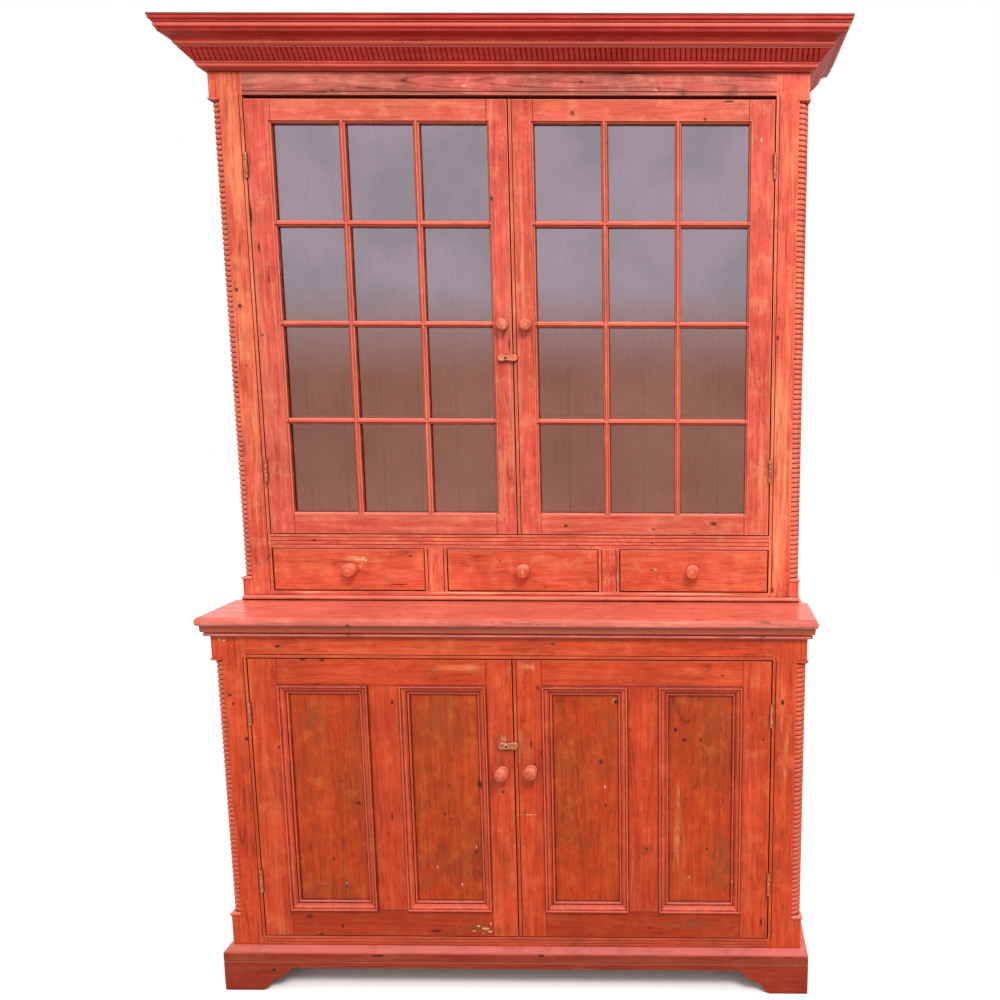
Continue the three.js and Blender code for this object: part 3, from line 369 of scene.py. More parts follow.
# Growth rings: thin lines where the noise passes a whole number, some open as hair cracks
def ringed(tree, colour, colours, layers, amounts, figure):
    waves = combined(tree, layers["growth"], amounts["rings"], "MULTIPLY", clamp=False)
    bands = combined(tree, waves, 0.5, "PINGPONG")
    shown = ramped(tree, layers["patches"], *fades["figured"], figure)
    lines = multiplied(tree, ramped(tree, bands, *fades["ring"]), shown)
    colour = mixColours(tree, lines, colour, mixColours(tree, 0.5, colours["deep"], colours["dark"]))
    broken = ramped(tree, layers["mottles"], *fades["crackPlaces"])
    cracks = multiplied(tree, ramped(tree, bands, *fades["crack"]), broken)
    colour = mixColours(tree, multiplied(tree, cracks, amounts["cracks"]), colour, colours["dark"])
    return colour, lines


# Where the paint is back to the wood: broad patches rubbed by hands, and edges and rib crowns, rubbed and
# painted as highlights too
def rubbedAndHighlitShare(tree, place, layers, wear, ribs):
    broad = ramped(tree, layers["patches"], *fades["handled"])
    streaked = ramped(tree, layers["streaks"], *fades["brushed"])
    worn = multiplied(tree, multiplied(tree, broad, streaked), wear * shares["handled"])
    # Edges: rubbed paint that is also a painted highlight
    edge = openness(tree, reaches["edge"], 5, inside=True, only_local=True)
    uneven = ramped(tree, layers["mottles"], *fades["edgePlaces"])
    worn = combined(tree, worn, multiplied(tree, ramped(tree, edge, *fades["edge"]), uneven))
    return combined(tree, worn, ribCrowns(tree, place, ribs)) if ribs else worn


# Boards that took the paint lighter or darker than their neighbours, and bands of painted highlight and
# shade
def toned(tree, colour, colours, boards, insides):
    for inside, board in zip(insides, boards):
        tone = board["tone"]
        own = colours["deep"] if tone < 0 else colours["wood"]
        if "colour" in board:
            own = hexColour(board["colour"])
        colour = mixColours(tree, multiplied(tree, inside, abs(tone)), colour, own)
    return colour


# Painted shade darkens the slopes and undersides of a moulding; dust and painted sheen pale its ledges
def shadeSheenAndDust(tree, colour, colours, facing, layers, look):
    front = addNode(tree, "Math", {0: facing[1]}, operation="ABSOLUTE").outputs[0]
    # Painted shade on faces turned away from the front
    slope = ramped(tree, front, *fades["slope"], look["slopes"])
    colour = mixColours(tree, slope, colour, colours["deep"])
    # Dust and painted sheen of the sky on faces that look up
    ledge = multiplied(tree, ramped(tree, facing[2], *fades["ledge"], look["dustAndSheen"]),
                       ramped(tree, layers["mottles"], *fades["ledgePlaces"]))
    colour = mixColours(tree, ledge, colour, colours["dustAndSheen"])
    # Painted shade on undersides
    return mixColours(tree, ramped(tree, facing[2], *fades["underside"]), colour, colours["deep"])


# The thin lines of a moulding, of glazing bars and of the beads between back boards
# Their dark lines are painted shade in quirks and grooves, their pale pink ones painted highlights
def trimmed(tree, colour, colours, place, facing, layers, moulding, lights, grooves):
    ragged = ramped(tree, layers["mottles"], *fades["ragged"])
    fronted = ramped(tree, facing[1], *fades["fronted"])
    if moulding:
        away = insetFrom(tree, place, moulding["span"])
        colour = lined(tree, colour, away, moulding["lines"], colours, ragged, fronted)
    if lights:
        away = outsideLights(tree, place, lights)
        inside = multiplied(tree, boardMasks(tree, place, lights["around"])[0], fronted)
        colour = lined(tree, colour, away, lights["lines"], colours, ragged, inside)
    if grooves:
        across = axes(tree, awayFrom(tree, place, how="ABSOLUTE"))[0]
        away = folded(tree, across, grooves["pitch"] / 2)
        colour = lined(tree, colour, away, grooves["lines"], colours, ragged)
    return colour


# Stains, rubbed places, pale chips and knots, each where the real board has it
def marked(tree, colour, place, layers, marks):
    for kind, reach, share, fray, patchy in markLooks:
        if kind in marks:
            frayed = combined(tree, less(tree, layers["streaks"], 0.5), fray, "MULTIPLY", clamp=False)
            field = summed(tree, nearest(tree, place, marks[kind]), frayed)
            cover = ramped(tree, field, 1.0, reach, share)
            if patchy:
                cover = multiplied(tree, cover, ramped(tree, layers["mottles"], *fades["patchy"]))
            colour = mixColours(tree, cover, colour, hexColour(stainsAndSheen[kind]))
    return colour


# Painted shade in the corners and the quirks, darker where less open air reaches, and old dirt in the dents
# and in the open joints
def shadedAndDirtied(tree, colour, dark, look, specks, joints):
    # Painted shade: wide corners first, then narrow crevices
    corners = ramped(tree, openness(tree, reaches["corner"], 5), *fades["corner"])
    colour = mixColours(tree, corners, colour, dark)
    crevices = ramped(tree, openness(tree, reaches["crevice"], 6), look["crevice"], *shares["crevice"])
    colour = mixColours(tree, crevices, colour, dark)
    for dirty in (combined(tree, specks["specks"], specks["pits"]), joints):
        if dirty is not None:
            colour = mixColours(tree, multiplied(tree, dirty, shares["dirty"]), colour, dark)
    return colour


# Raised grain and brush marks, with the dents, rings and joints sunk in, on softly rounded edges
def grainBump(tree, layers, specks, rings, joints):
    height = multiplied(tree, summed(tree, layers["streaks"], layers["threads"]), 0.5)
    for sunk, share in zip((specks, rings, joints), shares["sunk"]):
        if sunk is not None:
            height = less(tree, height, multiplied(tree, sunk, share))
    eased = addNode(tree, "Bevel", {"Radius": reaches["round"] * mm}, samples=4).outputs[0]
    return addNode(tree, "Bump", {"Strength": shares["relief"], "Distance": reaches["bump"] * mm,
                                  "Height": height, "Normal": eased}).outputs[0]


# Pine boards under thin old red milk paint, brushed on by hand: soft clouds and a fine thread of
# grain under the brush, the lines of the growth rings in a loose figure, hair cracks along them,
# paint rubbed back to orange wood by hands, and dents and knots that stay dark.
# Painted in too: shade in corners, quirks, slopes and undersides, highlights and sheen on beads, ledges,
# edges and rib crowns.
def paintedPine(name, finish, along="z", boards=(), marks=(), field=None, ribs=None, figure=0.3,
                moulding=None, lights=None, grooves=None, bare=None):
    material, tree = newMaterial(name)
    look = {**plainPine, **pineFinish[finish]}
    place = addNode(tree, "TexCoord").outputs["Object"]
    facing = axes(tree, addNode(tree, "NewGeometry").outputs["True Normal"])
    colours, mottle = pigments(tree, place, facing, look, field, bare)
    amounts = {**look, "mottle": mottle, "scuff": look["streak"] * shares["scuffed"]}
    grain, joints, insides = boardGrain(tree, place, along, boards)
    layers = {key: noise(tree, grain if followsGrain else place, *shape)
              for key, (followsGrain, *shape) in paintNoise.items()}
    specks = {key: speckled(tree, place, along, layers["grit"], look["clean"], kind)
              for key, kind in speckKinds.items()}

    colour = coated(tree, colours, layers, amounts)
    colour, rings = ringed(tree, colour, colours, layers, amounts, figure)
    colour = mixColours(tree, rubbedAndHighlitShare(tree, place, layers, look["wear"], ribs), colour, colours["wood"])
    colour = toned(tree, colour, colours, boards, insides)
    colour = shadeSheenAndDust(tree, colour, colours, facing, layers, look)
    colour = trimmed(tree, colour, colours, place, facing, layers, moulding, lights, grooves)
    colour = marked(tree, colour, place, layers, marks)
    colour = shadedAndDirtied(tree, colour, colours["dark"], look, specks, joints)
    rise, fall = shares["sheen"]
    roughness = ramped(tree, layers["streaks"], *fades["sheen"], look["rough"] + rise, look["rough"] - fall)
    shader = addNode(tree, "BsdfPrincipled", {
        "Base Color": colour, "Normal": grainBump(tree, layers, specks["specks"], rings, joints),
        "Roughness": roughness, "IOR": 1.5, "Specular IOR Level": look["gloss"],
    })
    addNode(tree, "OutputMaterial", {0: shader.outputs[0]})
    return material


# The rib crowns of a quarter column stand a full radius from its axis and are rubbed pale, which paints a
# highlight on them too
def ribCrowns(tree, place, ribs):
    x, y = ribs["axis"]
    across = axes(tree, addNode(tree, "VectorMath", {0: place}, operation="ABSOLUTE").outputs[0])[0]
    deep = axes(tree, place)[1]
    offset = {0: less(tree, across, x * mm), 1: less(tree, deep, y * mm)}
    flat = addNode(tree, "CombineXYZ", offset).outputs[0]
    away = addNode(tree, "VectorMath", {0: flat}, operation="LENGTH").outputs["Value"]
    low, high, end = ((ribs["radius"] + step) * mm for step in ribs["crown"])
    crown = ramped(tree, away, low, high, ribs["share"])
    beyond = combined(tree, across, (x + ribs["flank"]) * mm, "GREATER_THAN")
    within = combined(tree, away, end, "LESS_THAN")
    return multiplied(tree, crown, multiplied(tree, beyond, within))


# Old hand drawn glass: faint waves, and a painted reflection in a clouded film, lavender grey and
# stronger at the top, brownish and weaker below, clear enough below to see the boards behind
glassLook = {"high": "#cbbccb", "grey": "#b2aab4", "low": "#c89684", "tint": "#f6e6e0", "rough": 0.04,
             "levels": (1.4, 1.6), "paintedReflection": (0.47, 0.24), "reflectionPatches": (0.35, 0.65, 0.1),
             "reflectionClouds": (0.42, 0.6), "wave": 200, "waveDepth": 2, "waveStrength": 0.3, "cloud": 238.1}


def oldGlass(name, look):
    material, tree = newMaterial(name)
    place = addNode(tree, "TexCoord").outputs["Object"]
    up = axes(tree, place)[2]
    waves = noise(tree, place, look["wave"], 1)
    clouds = noise(tree, place, look["cloud"], 4)
    bump = addNode(tree, "Bump", {
        "Strength": look["waveStrength"], "Distance": look["waveDepth"] * mm, "Height": waves,
    })
    through = addNode(tree, "BsdfTransparent", {0: hexColour(look["tint"])})
    reflectionClouds = ramped(tree, clouds, *look["reflectionClouds"])
    upper = mixColours(tree, reflectionClouds, hexColour(look["high"]), hexColour(look["grey"]))
    # Painted reflection: sky colours above, ground colours below
    paintedReflection = mixColours(tree, ramped(tree, up, *look["levels"]), hexColour(look["low"]), upper)
    sheen = addNode(tree, "BsdfGlossy", {
        "Color": paintedReflection, "Roughness": look["rough"], "Normal": bump.outputs[0],
    })
    # Painted reflection, stronger at the top
    share = combined(tree, ramped(tree, up, *look["levels"], *look["paintedReflection"]),
                     ramped(tree, clouds, *look["reflectionPatches"]), "ADD")
    both = addNode(tree, "MixShader", {0: share, 1: through.outputs[0], 2: sheen.outputs[0]})
    addNode(tree, "OutputMaterial", {0: both.outputs[0]})
    return material


# Wrought iron hinges, steel screws and tin washers: brushed over with the case's paint, scratched
# bright through it and dark where dirt gathers
ironLook = {"scratch": 4.545, "scratched": (0.44, 0.62), "scratchDepth": 0.4, "relief": 0.4,
            "dirt": "#2a0c06", "dirtReach": 3, "dirty": (0.7, 0.2, 0.9), "rough": 0.42}


def paintedIron(name, low, high, metallic, look=ironLook):
    material, tree = newMaterial(name)
    place = addNode(tree, "TexCoord").outputs["Object"]
    scratches = noise(tree, place, look["scratch"], 3)
    bright = ramped(tree, scratches, *look["scratched"])
    colour = mixColours(tree, bright, hexColour(low), hexColour(high))
    dirty = ramped(tree, openness(tree, look["dirtReach"], 4), *look["dirty"])
    colour = mixColours(tree, dirty, colour, hexColour(look["dirt"]))
    depth = look["scratchDepth"] * mm
    bump = addNode(tree, "Bump", {"Strength": look["relief"], "Distance": depth, "Height": scratches})
    shader = addNode(tree, "BsdfPrincipled", {
        "Base Color": colour, "Roughness": look["rough"], "Normal": bump.outputs[0], "Metallic": metallic,
    })
    addNode(tree, "OutputMaterial", {0: shader.outputs[0]})
    return material


def dress(names, material):
    for name in names:
        slots = nodes[name].data.materials
        slots.clear()
        slots.append(material)


# Levels and edges of the doors' rails, stiles and bars, mm
upperDoor = {"foot": 1038.5, "low": 1088, "high": 1938, "top": 1987.5, "near": 50.8, "far": 518.4,
             "bars": (1296.75, 1513, 1729.25), "barHalf": 7.5, "lights": (3, 4)}
lowerDoor = {"foot": 127.5, "low": 190, "high": 724.5, "top": 783,
             "left": (-512, -312.8, -244.8, -52), "right": (70, 259, 327, 512), "mould": 22.5}


def upperDoorBoards(side):
    d = upperDoor
    x0, x1 = sorted((side * d["near"], side * d["far"]))
    levels = [(d["foot"], d["low"], -0.15), (d["high"], d["top"], 0.1)]
    levels += [(z - d["barHalf"], z + d["barHalf"], -0.1) for z in d["bars"]]
    return [{"span": (x0, x1, z0, z1), "along": "x", "tone": tone} for z0, z1, tone in levels]


def lowerDoorBoards(word):
    d = lowerDoor
    a, b, c, e = d[word]
    return [
        {"span": (a, e, d["foot"] - 1, d["low"]), "along": "x", "tone": 0.5, "colour": "#86260a"},
        {"span": (a, e, d["high"], d["top"] + 1), "along": "x", "tone": -0.1},
        {"span": (b, c, d["low"], d["high"]), "along": "z", "joint": "z", "tone": -0.08},
    ]


# Distance from the edge, half width, strength and colour of each line, mm
# The dark lines are painted shade in the quirks and at the edges, the pale pink ones painted highlights on
# the beads
panelLines = (
    (0, 1.1, 0.8, "dark"), (2.8, 1.2, 0.22, "dustAndSheen"), (5.7, 0.9, 0.75, "dark"), (9.6, 1.4, 0.12, "dustAndSheen"),
    (13.4, 0.7, 0.4, "dark"), (16.2, 0.9, 0.75, "dark"), (18.5, 1.0, 0.25, "dustAndSheen"),
    (22.3, 1.1, 0.8, "dark"),
)
# Painted shade at the edges of a bar and beside its crown, rubbed paint on its ovolo, a painted highlight
# on its crown
barLines = (
    (0.3, 0.8, 0.8, "dark"), (2.3, 0.8, 0.5, "wood"), (4.6, 0.6, 0.3, "dark"), (7.2, 1.0, 0.3, "dustAndSheen"),
)
# Painted shade in each groove between back boards, and rubbed paint on the bead beside it
backGrooves = {"pitch": 92.5, "lines": ((0, 3.2, 0.95, "dark"), (5.5, 1.2, 0.4, "wood"))}


def panelSpans(word, index):
    d = lowerDoor
    x0, x1 = d[word][2 * index:2 * index + 2]
    m = d["mould"]
    return {"field": {"span": (x0 + m, x1 - m, d["low"] + m, d["high"] - m), "finish": "panel"},
            "moulding": {"span": (x0, x1, d["low"], d["high"]), "lines": panelLines}}


# Pitch of the lights of a sash from bar to bar, across and up
def lightPitch():
    d = upperDoor
    bar = 2 * d["barHalf"]
    across, high = d["lights"]
    return (d["far"] - d["near"] + bar) / across, (d["high"] - d["low"] + bar) / high


def sashLights(side):
    d = upperDoor
    half = d["barHalf"]
    width, height = lightPitch()
    x0, x1 = sorted((side * (d["near"] - half), side * (d["far"] + half)))
    return {"near": d["near"], "low": d["low"], "bar": 2 * half, "width": width, "height": height,
            "lines": barLines, "around": {"span": (x0, x1, d["low"] - half, d["high"] + half)}}


# Marks seen on the real boards, each as x, z, half width and half height in mm
boardMarks = {
    "upper_stile_left": {
        "olive": [(-611, 1551, 9, 12), (-618, 1585, 6, 8), (-614, 1635, 7, 9)],
        "rubbed": [(-600, 1780, 10, 170), (-597, 1200, 12, 130)],
        "knot": [(-628, 1964, 5, 6), (-611, 1551, 4, 5), (-616, 1586, 3, 4), (-605, 1420, 3, 4)],
    },
    "upper_stile_right": {
        "rubbed": [(603, 1900, 14, 120), (604, 1300, 12, 160), (600, 1000, 10, 80)],
        "knot": [(588, 1485, 5, 8), (590, 1526, 3, 6), (626, 1439, 3, 4), (587, 909, 3, 9)],
    },
    "upper_top_rail": {
        "olive": [(266, 2037, 150, 5), (156, 2023, 40, 5), (380, 2030, 70, 4)],
        "pale": [(-389, 2003, 7, 3), (-96, 2014, 8, 3), (319, 2007, 6, 3)],
        "knot": [(156, 2023, 6, 3), (322, 2008, 7, 2), (265, 2040, 40, 2)],
    },
    "drawer_deck": {"knot": [(307, 1020, 6, 3), (165, 1008, 5, 2), (-476, 1022, 7, 4)],
                    "pale": [(311, 1022, 5, 2)]},
    "drawer_left": {
        "rubbed": [(-386, 979, 20, 9), (-370, 970, 8, 12)],
        "knot": [(-253, 986, 7, 3), (-562, 987, 2, 2), (-564, 925, 2, 2), (-531, 966, 1.6, 1.6),
                 (-280, 918, 26, 2)],
        "pale": [(-251, 987, 4, 2), (-386, 984, 13, 1.4), (-378, 977, 7, 1.5), (-364, 980, 2, 5),
                 (-366, 968, 5, 1.6), (-398, 986, 5, 1.2), (-372, 960, 2.4, 1.6), (-358, 972, 1.6, 4)],
    },
    "upper_bottom_board": {"pale": [(-60, 898.6, 330, 2), (420, 898.6, 130, 1.6), (-500, 898.6, 60, 1.4)]},
    "drawer_middle": {"olive": [(-45, 975, 7, 6)], "knot": [(-46, 975, 3, 3), (160, 925, 3, 3)]},
    "drawer_right": {
        "pale": [(312, 956, 6, 3)],
        "knot": [(307, 955, 8, 2.5), (556, 985, 2, 2), (558, 925, 2, 2)],
    },
    "drawer_divider_right": {"knot": [(202, 931, 3, 3)], "olive": [(200, 945, 8, 20)]},
    "lower_top_rail": {
        "olive": [(-506, 812, 18, 10), (-205, 816, 20, 12), (60, 815, 12, 9)],
        "knot": [(-506, 812, 7, 4), (-534, 826, 8, 3), (-470, 826, 4, 2), (-435, 804, 3, 2),
                 (96, 820, 6, 3)],
    },
    "lower_stile_left": {
        "knot": [(-589, 599, 5, 6), (-618, 700, 4, 3), (-612, 680, 3, 5), (-622, 300, 3, 3)],
        "pale": [(-632, 826, 2, 3), (-622, 824, 3, 2), (-614, 828, 1.6, 2), (-606, 812, 1.4, 3)],
        "olive": [(-612, 826, 26, 6)],
    },
    "lower_stile_right": {
        "knot": [(600, 690, 3, 5), (606, 420, 3, 3), (598, 300, 2, 5)],
        "rubbed": [(606, 560, 8, 120)],
    },
    "base_front": {
        "knot": [(-316, 88, 11, 3), (-555, 50, 6, 6), (60, 90, 7, 3)],
        "olive": [(-555, 50, 16, 12)],
    },
    "counter_top": {"knot": [(-340, 868, 6, 5)]},
    "upper_left_door_sash": {
        "olive": [(-548, 1861, 8, 10), (-22, 1869, 5, 18), (-13, 1473, 6, 34)],
        "rubbed": [(-30, 1497, 9, 12), (-556, 1560, 10, 120), (-565, 1487, 5, 12), (-28, 1200, 9, 110)],
        "knot": [(-573, 1746, 3, 26), (-560, 1678, 3, 14), (-42, 1782, 6, 8), (-565, 1487, 3, 6),
                 (-12, 1468, 2.4, 20)],
    },
    "upper_right_door_sash": {
        "olive": [(137, 1961, 20, 12), (449, 1064, 24, 14), (476, 1984, 18, 5)],
        "knot": [(137, 1961, 8, 10), (476, 1984, 14, 3), (423, 1948, 4, 4), (449, 1066, 9, 6),
                 (108, 1058, 6, 5), (311, 1051, 5, 2), (560, 1352, 3, 3)],
        "rubbed": [(20, 1600, 6, 140), (556, 1180, 6, 100)],
        "pale": [(545, 1905, 2.4, 4)],
    },
    "lower_left_door_frame": {
        "olive": [(-410, 781, 12, 5), (-172, 755, 22, 16), (-25, 575, 14, 60), (-77, 145, 60, 10),
                  (-20, 300, 18, 90)],
        "rubbed": [(-12, 597, 12, 12), (-110, 765, 44, 7)],
        "pale": [(-452, 133, 5, 1.6), (-70, 146, 6, 2), (-86, 152, 3, 1.6), (-60, 138, 4, 2),
                 (-58, 158, 2, 3), (-96, 140, 3, 1.2), (-76, 134, 3, 1.2)],
        "knot": [(-453, 781, 7, 4), (-410, 780, 7, 3), (-260, 686, 4, 6), (-268, 359, 3, 6),
                 (-272, 417, 3, 12), (-21, 478, 4, 4), (-472, 174, 11, 7), (-449, 131, 13, 4),
                 (-398, 153, 5, 8), (-184, 139, 14, 4), (-517, 580, 4, 4), (-556, 599, 3, 3)],
    },
    "lower_right_door_frame": {
        "olive": [(33, 585, 20, 50), (300, 344, 14, 26), (385, 160, 90, 12)],
        "rubbed": [(22, 596, 10, 30), (40, 768, 26, 8)],
        "pale": [(407, 168, 12, 2.5), (30, 424, 26, 2)],
        "knot": [(61, 721, 4, 8), (44, 590, 3, 14), (558, 603, 5, 5), (467, 750, 4, 3), (407, 168, 16, 3),
                 (307, 150, 7, 3), (561, 167, 4, 16), (300, 344, 3, 5), (53, 545, 3, 6)],
    },
    "lower_left_door_outer_panel": {
        "knot": [(-351, 446, 8, 6), (-386, 498, 4, 4), (-395, 618, 3, 2.4), (-414, 311, 5, 5),
                 (-434, 246, 3, 5), (-386, 246, 3, 5), (-488, 312, 3, 6), (-470, 500, 4, 2)],
        "pale": [(-434, 248, 2, 4), (-386, 248, 2, 4)],
        "olive": [(-440, 640, 40, 70), (-470, 240, 30, 30)],
    },
    "lower_left_door_inner_panel": {
        "knot": [(-143, 491, 3.4, 3), (-156, 421, 4, 6), (-142, 408, 3, 3), (-75, 493, 6, 9),
                 (-88, 330, 4, 8)],
        "pale": [(-86, 341, 5, 8), (-177, 293, 2, 5), (-85, 291, 1.6, 6), (-122, 250, 2, 3.4)],
        "olive": [(-195, 261, 30, 22), (-150, 640, 60, 60), (-75, 493, 12, 16)],
    },
    "lower_right_door_inner_panel": {
        "knot": [(233, 687, 6, 6), (198, 547, 4, 7), (208, 445, 3, 6), (120, 360, 3, 3)],
        "pale": [(229, 692, 3, 1.6), (226, 687, 1.6, 2), (139, 490, 1.4, 3), (206, 488, 2, 4)],
        "olive": [(220, 640, 20, 50)],
    },
    "lower_right_door_outer_panel": {
        "knot": [(383, 599, 7, 5), (363, 623, 5, 6), (377, 340, 3, 6), (436, 341, 3, 5), (420, 600, 3, 3)],
        "pale": [(377, 342, 2.4, 5), (396, 272, 2, 5), (494, 264, 4, 1.6)],
        "olive": [(450, 650, 50, 60), (470, 300, 36, 80)],
        "rubbed": [(372, 380, 14, 100)],
    },
}

# Bands painted lighter or darker, by their levels in mm, some in a colour of their own
bandReach = 800      # half the width that a band spans, past both ends of the cornice
# Cornice: painted highlights on its rounds, painted shade in its cove, and darker towards its top edge
corniceBands = ((2045, 2055, 0.55), (2079, 2087, 0.9), (2094, 2106, 0.6, "#8a1c06"), (2107, 2116, 0.55),
                (2118, 2128, -0.4), (2128, 2131, 0.9, "#43100a"))
# Counter: painted shade on the fascia under its nose and a painted highlight on the nose
counterBands = ((842, 861, 0.85, "#a83c0e"), (866, 882, 0.15))
# Base: a darker foot board, a painted highlight on its bead and painted shade on the band under the bevel
baseBands = ((0, 70, 0.6, "#8e2a10"), (70.5, 74, 0.5), (75, 90, 0.5, "#7d2412"))


def banded(bands, along):
    boards = []
    for z0, z1, tone, *own in bands:
        board = {"span": (-bandReach, bandReach, z0, z1), "along": along, "tone": tone, "jointed": False}
        if own:
            board["colour"] = own[0]
        boards.append(board)
    return boards


# Axis of each quarter column, the reach of its rib crowns from where their rubbed paint and painted
# highlight begin to where they end, and how far these keep off the flank that meets the stile, mm
columnRibs = {level: {"axis": axis, "radius": 22, "crown": (-1.3, -0.2, 0.3), "flank": 2, "share": 0.4}
              for level, axis in (("upper", (626, 10.65)), ("lower", (629.5, -136.35)))}


def pine(node, finish, along="z", **more):
    marks = boardMarks.get(node, {})
    dress([node], paintedPine("milk painted pine " + node, finish, along, marks=marks, **more))


for word, side in sides:
    for level in ("upper", "lower"):
        pine(f"{level}_stile_{word}", level, ribs=columnRibs[level])
        pine(f"{level}_side_{word}", level)
    doorFinish = "upper" + word.capitalize() + "Door"
    pine(f"upper_{word}_door_sash", doorFinish, boards=upperDoorBoards(side), lights=sashLights(side))
    pine(f"lower_{word}_door_frame", "lower", boards=lowerDoorBoards(word))
    order = ("outer", "inner") if side < 0 else ("inner", "outer")
    for index, part in enumerate(order):
        pine(f"lower_{word}_door_{part}_panel", "lower", **panelSpans(word, index))
    pine(f"drawer_divider_{word}", "upper")
    pine(f"cornice_{word}", "cornice", "y", boards=banded(corniceBands, "y"))
    pine(f"base_{word}", "base", "y", boards=banded(baseBands, "y"))
pine("upper_top_rail", "topRail", "x", figure=0.9)
for node in ("drawer_deck", "upper_bottom_board"):
    pine(node, "upper", "x")
for word in ("left", "middle", "right"):
    pine("drawer_" + word, "drawer", "x")
for node in ("lower_top_rail", "lower_bottom_board"):
    pine(node, "lower", "x")
pine("cornice_front", "cornice", "x", boards=banded(corniceBands, "x"), figure=0.1)
pine("counter_top", "counter", "x", boards=banded(counterBands, "x"), figure=0.5)
pine("base_front", "base", "x", boards=banded(baseBands, "x"))
insideLevel = paintedPine("washed pine shelves", "inside", "x")
insideUpright = paintedPine("washed pine back boards", "inside", "z", bare="bare", grooves=backGrooves)
dress(["upper_top_board", "upper_shelf_1", "upper_shelf_2", "upper_shelf_3", "lower_shelf"], insideLevel)
dress(["upper_backboards", "lower_backboards"], insideUpright)
knobWood = paintedPine("milk painted turned pine", "knob", "z", figure=0.1)
buttonWood = paintedPine("milk painted whittled pine", "knob", "x", figure=0.1)
wornButtonWood = paintedPine("worn and oiled whittled pine", "button", "x")
dress(["upper_turn_button"], buttonWood)
dress(["lower_turn_button"], wornButtonWood)
hingeIron = paintedIron("painted wrought iron", "#a33d2b", "#c4865a", metallic=0.2)
screwIron = paintedIron("rusted iron screws", "#3a1810", "#7a4a34", metallic=0.5)
washerIron = paintedIron("worn tin washers", "#b9795a", "#e0b08c", metallic=0.3)
dress([n for n in nodes if "_hinge_" in n], hingeIron)
print("materials on the case, doors and drawers")


# New pieces

weld = 0.01 * mm      # points nearer than this are one


def addPiece(name, bm, body, material, replaced=(), smooth=35):
    bmesh.ops.remove_doubles(bm, verts=bm.verts, dist=weld)
    bmesh.ops.recalc_face_normals(bm, faces=bm.faces)
    mesh = bpy.data.meshes.new(name)
    bm.to_mesh(mesh)
    bm.free()
    mesh.materials.append(material)
    if smooth:
        mesh.shade_smooth()
        mesh.set_sharp_from_angle(angle=math.radians(smooth))
    piece = bpy.data.objects.new(name, mesh)
    bpy.context.scene.collection.objects.link(piece)
    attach(piece, body)
    for node in replaced:
        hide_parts(node)
    return piece


# Spins a profile of radius and height, in mm, about an axis through a point
def turnProfile(bm, profile, centre, axis, steps):
    side = Vector((1, 0, 0))
    axis = Vector(axis)
    verts = [bm.verts.new((Vector(centre) + side * r + axis * h) * mm) for r, h in profile]
    edges = [bm.edges.new(pair) for pair in zip(verts, verts[1:])]
    bmesh.ops.spin(bm, geom=verts + edges, cent=Vector(centre) * mm, axis=axis, angle=math.tau,
                   steps=steps, use_merge=True)


# Turned knob: collar, neck and a mushroom head with a shallow flat in its face, as shares
knobTurning = {
    "profile": ((0, 0), (0.86, 0), (0.9, 0.04), (0.86, 0.1), (0.74, 0.14), (0.54, 0.17), (0.45, 0.25),
                (0.43, 0.34), (0.5, 0.42), (0.7, 0.48), (0.92, 0.54), (1, 0.64), (0.99, 0.73), (0.9, 0.85),
                (0.72, 0.94), (0.5, 0.98), (0.46, 0.965), (0.42, 0.985), (0, 1)),
    "steps": 40,
}


def turnedKnob(node, body):
    low, high = (Vector(c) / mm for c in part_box(node))
    centre = (low + high) / 2
    radius, reach = (high.z - low.z) / 2, high.y - low.y
    bm = bmesh.new()
    profile = [(r * radius, h * reach) for r, h in knobTurning["profile"]]
    turnProfile(bm, profile, (centre.x, high.y, centre.z), (0, -1, 0), knobTurning["steps"])
    addPiece("turned_" + node, bm, body, knobWood, [node], smooth=50)


for word, _ in sides:
    turnedKnob(f"upper_{word}_door_knob", f"upper_{word}_door")
    turnedKnob(f"lower_{word}_door_knob", f"lower_{word}_door")
for word in ("left", "middle", "right"):
    turnedKnob(f"drawer_{word}_knob", f"{word}_drawer")
print("knobs turned")

# Round headed slotted screw on a dished washer, through each turn button, mm and degrees. The dome is
# given in shares of the head's radius and rise.
buttonScrew = {"x": {"upper": -19.5, "lower": -9.5}, "head": 3.3, "rise": 1.9, "slot": 0.5, "slotLip": 1.2,
               "sink": 0.8, "clear": 0.1, "tilt": 20, "washer": 5.2, "thick": 0.9, "rim": 0.5,
               "rimWide": 2, "dish": 0.8, "steps": 20,
               "dome": ((0, 0), (1, 0), (0.97, 0.35), (0.8, 0.7), (0.5, 0.92), (0, 1))}


def dishedWasher(level, centre, look):
    w, t = look["washer"], look["thick"]
    floor = t * look["dish"]
    profile = ((0, 0), (w, 0), (w, t / 2), (w - look["rim"], t), (w - look["rimWide"], floor), (0, floor))
    bm = bmesh.new()
    turnProfile(bm, profile, centre, (0, -1, 0), look["steps"])
    addPiece(f"{level}_button_washer", bm, f"{level}_button", washerIron)


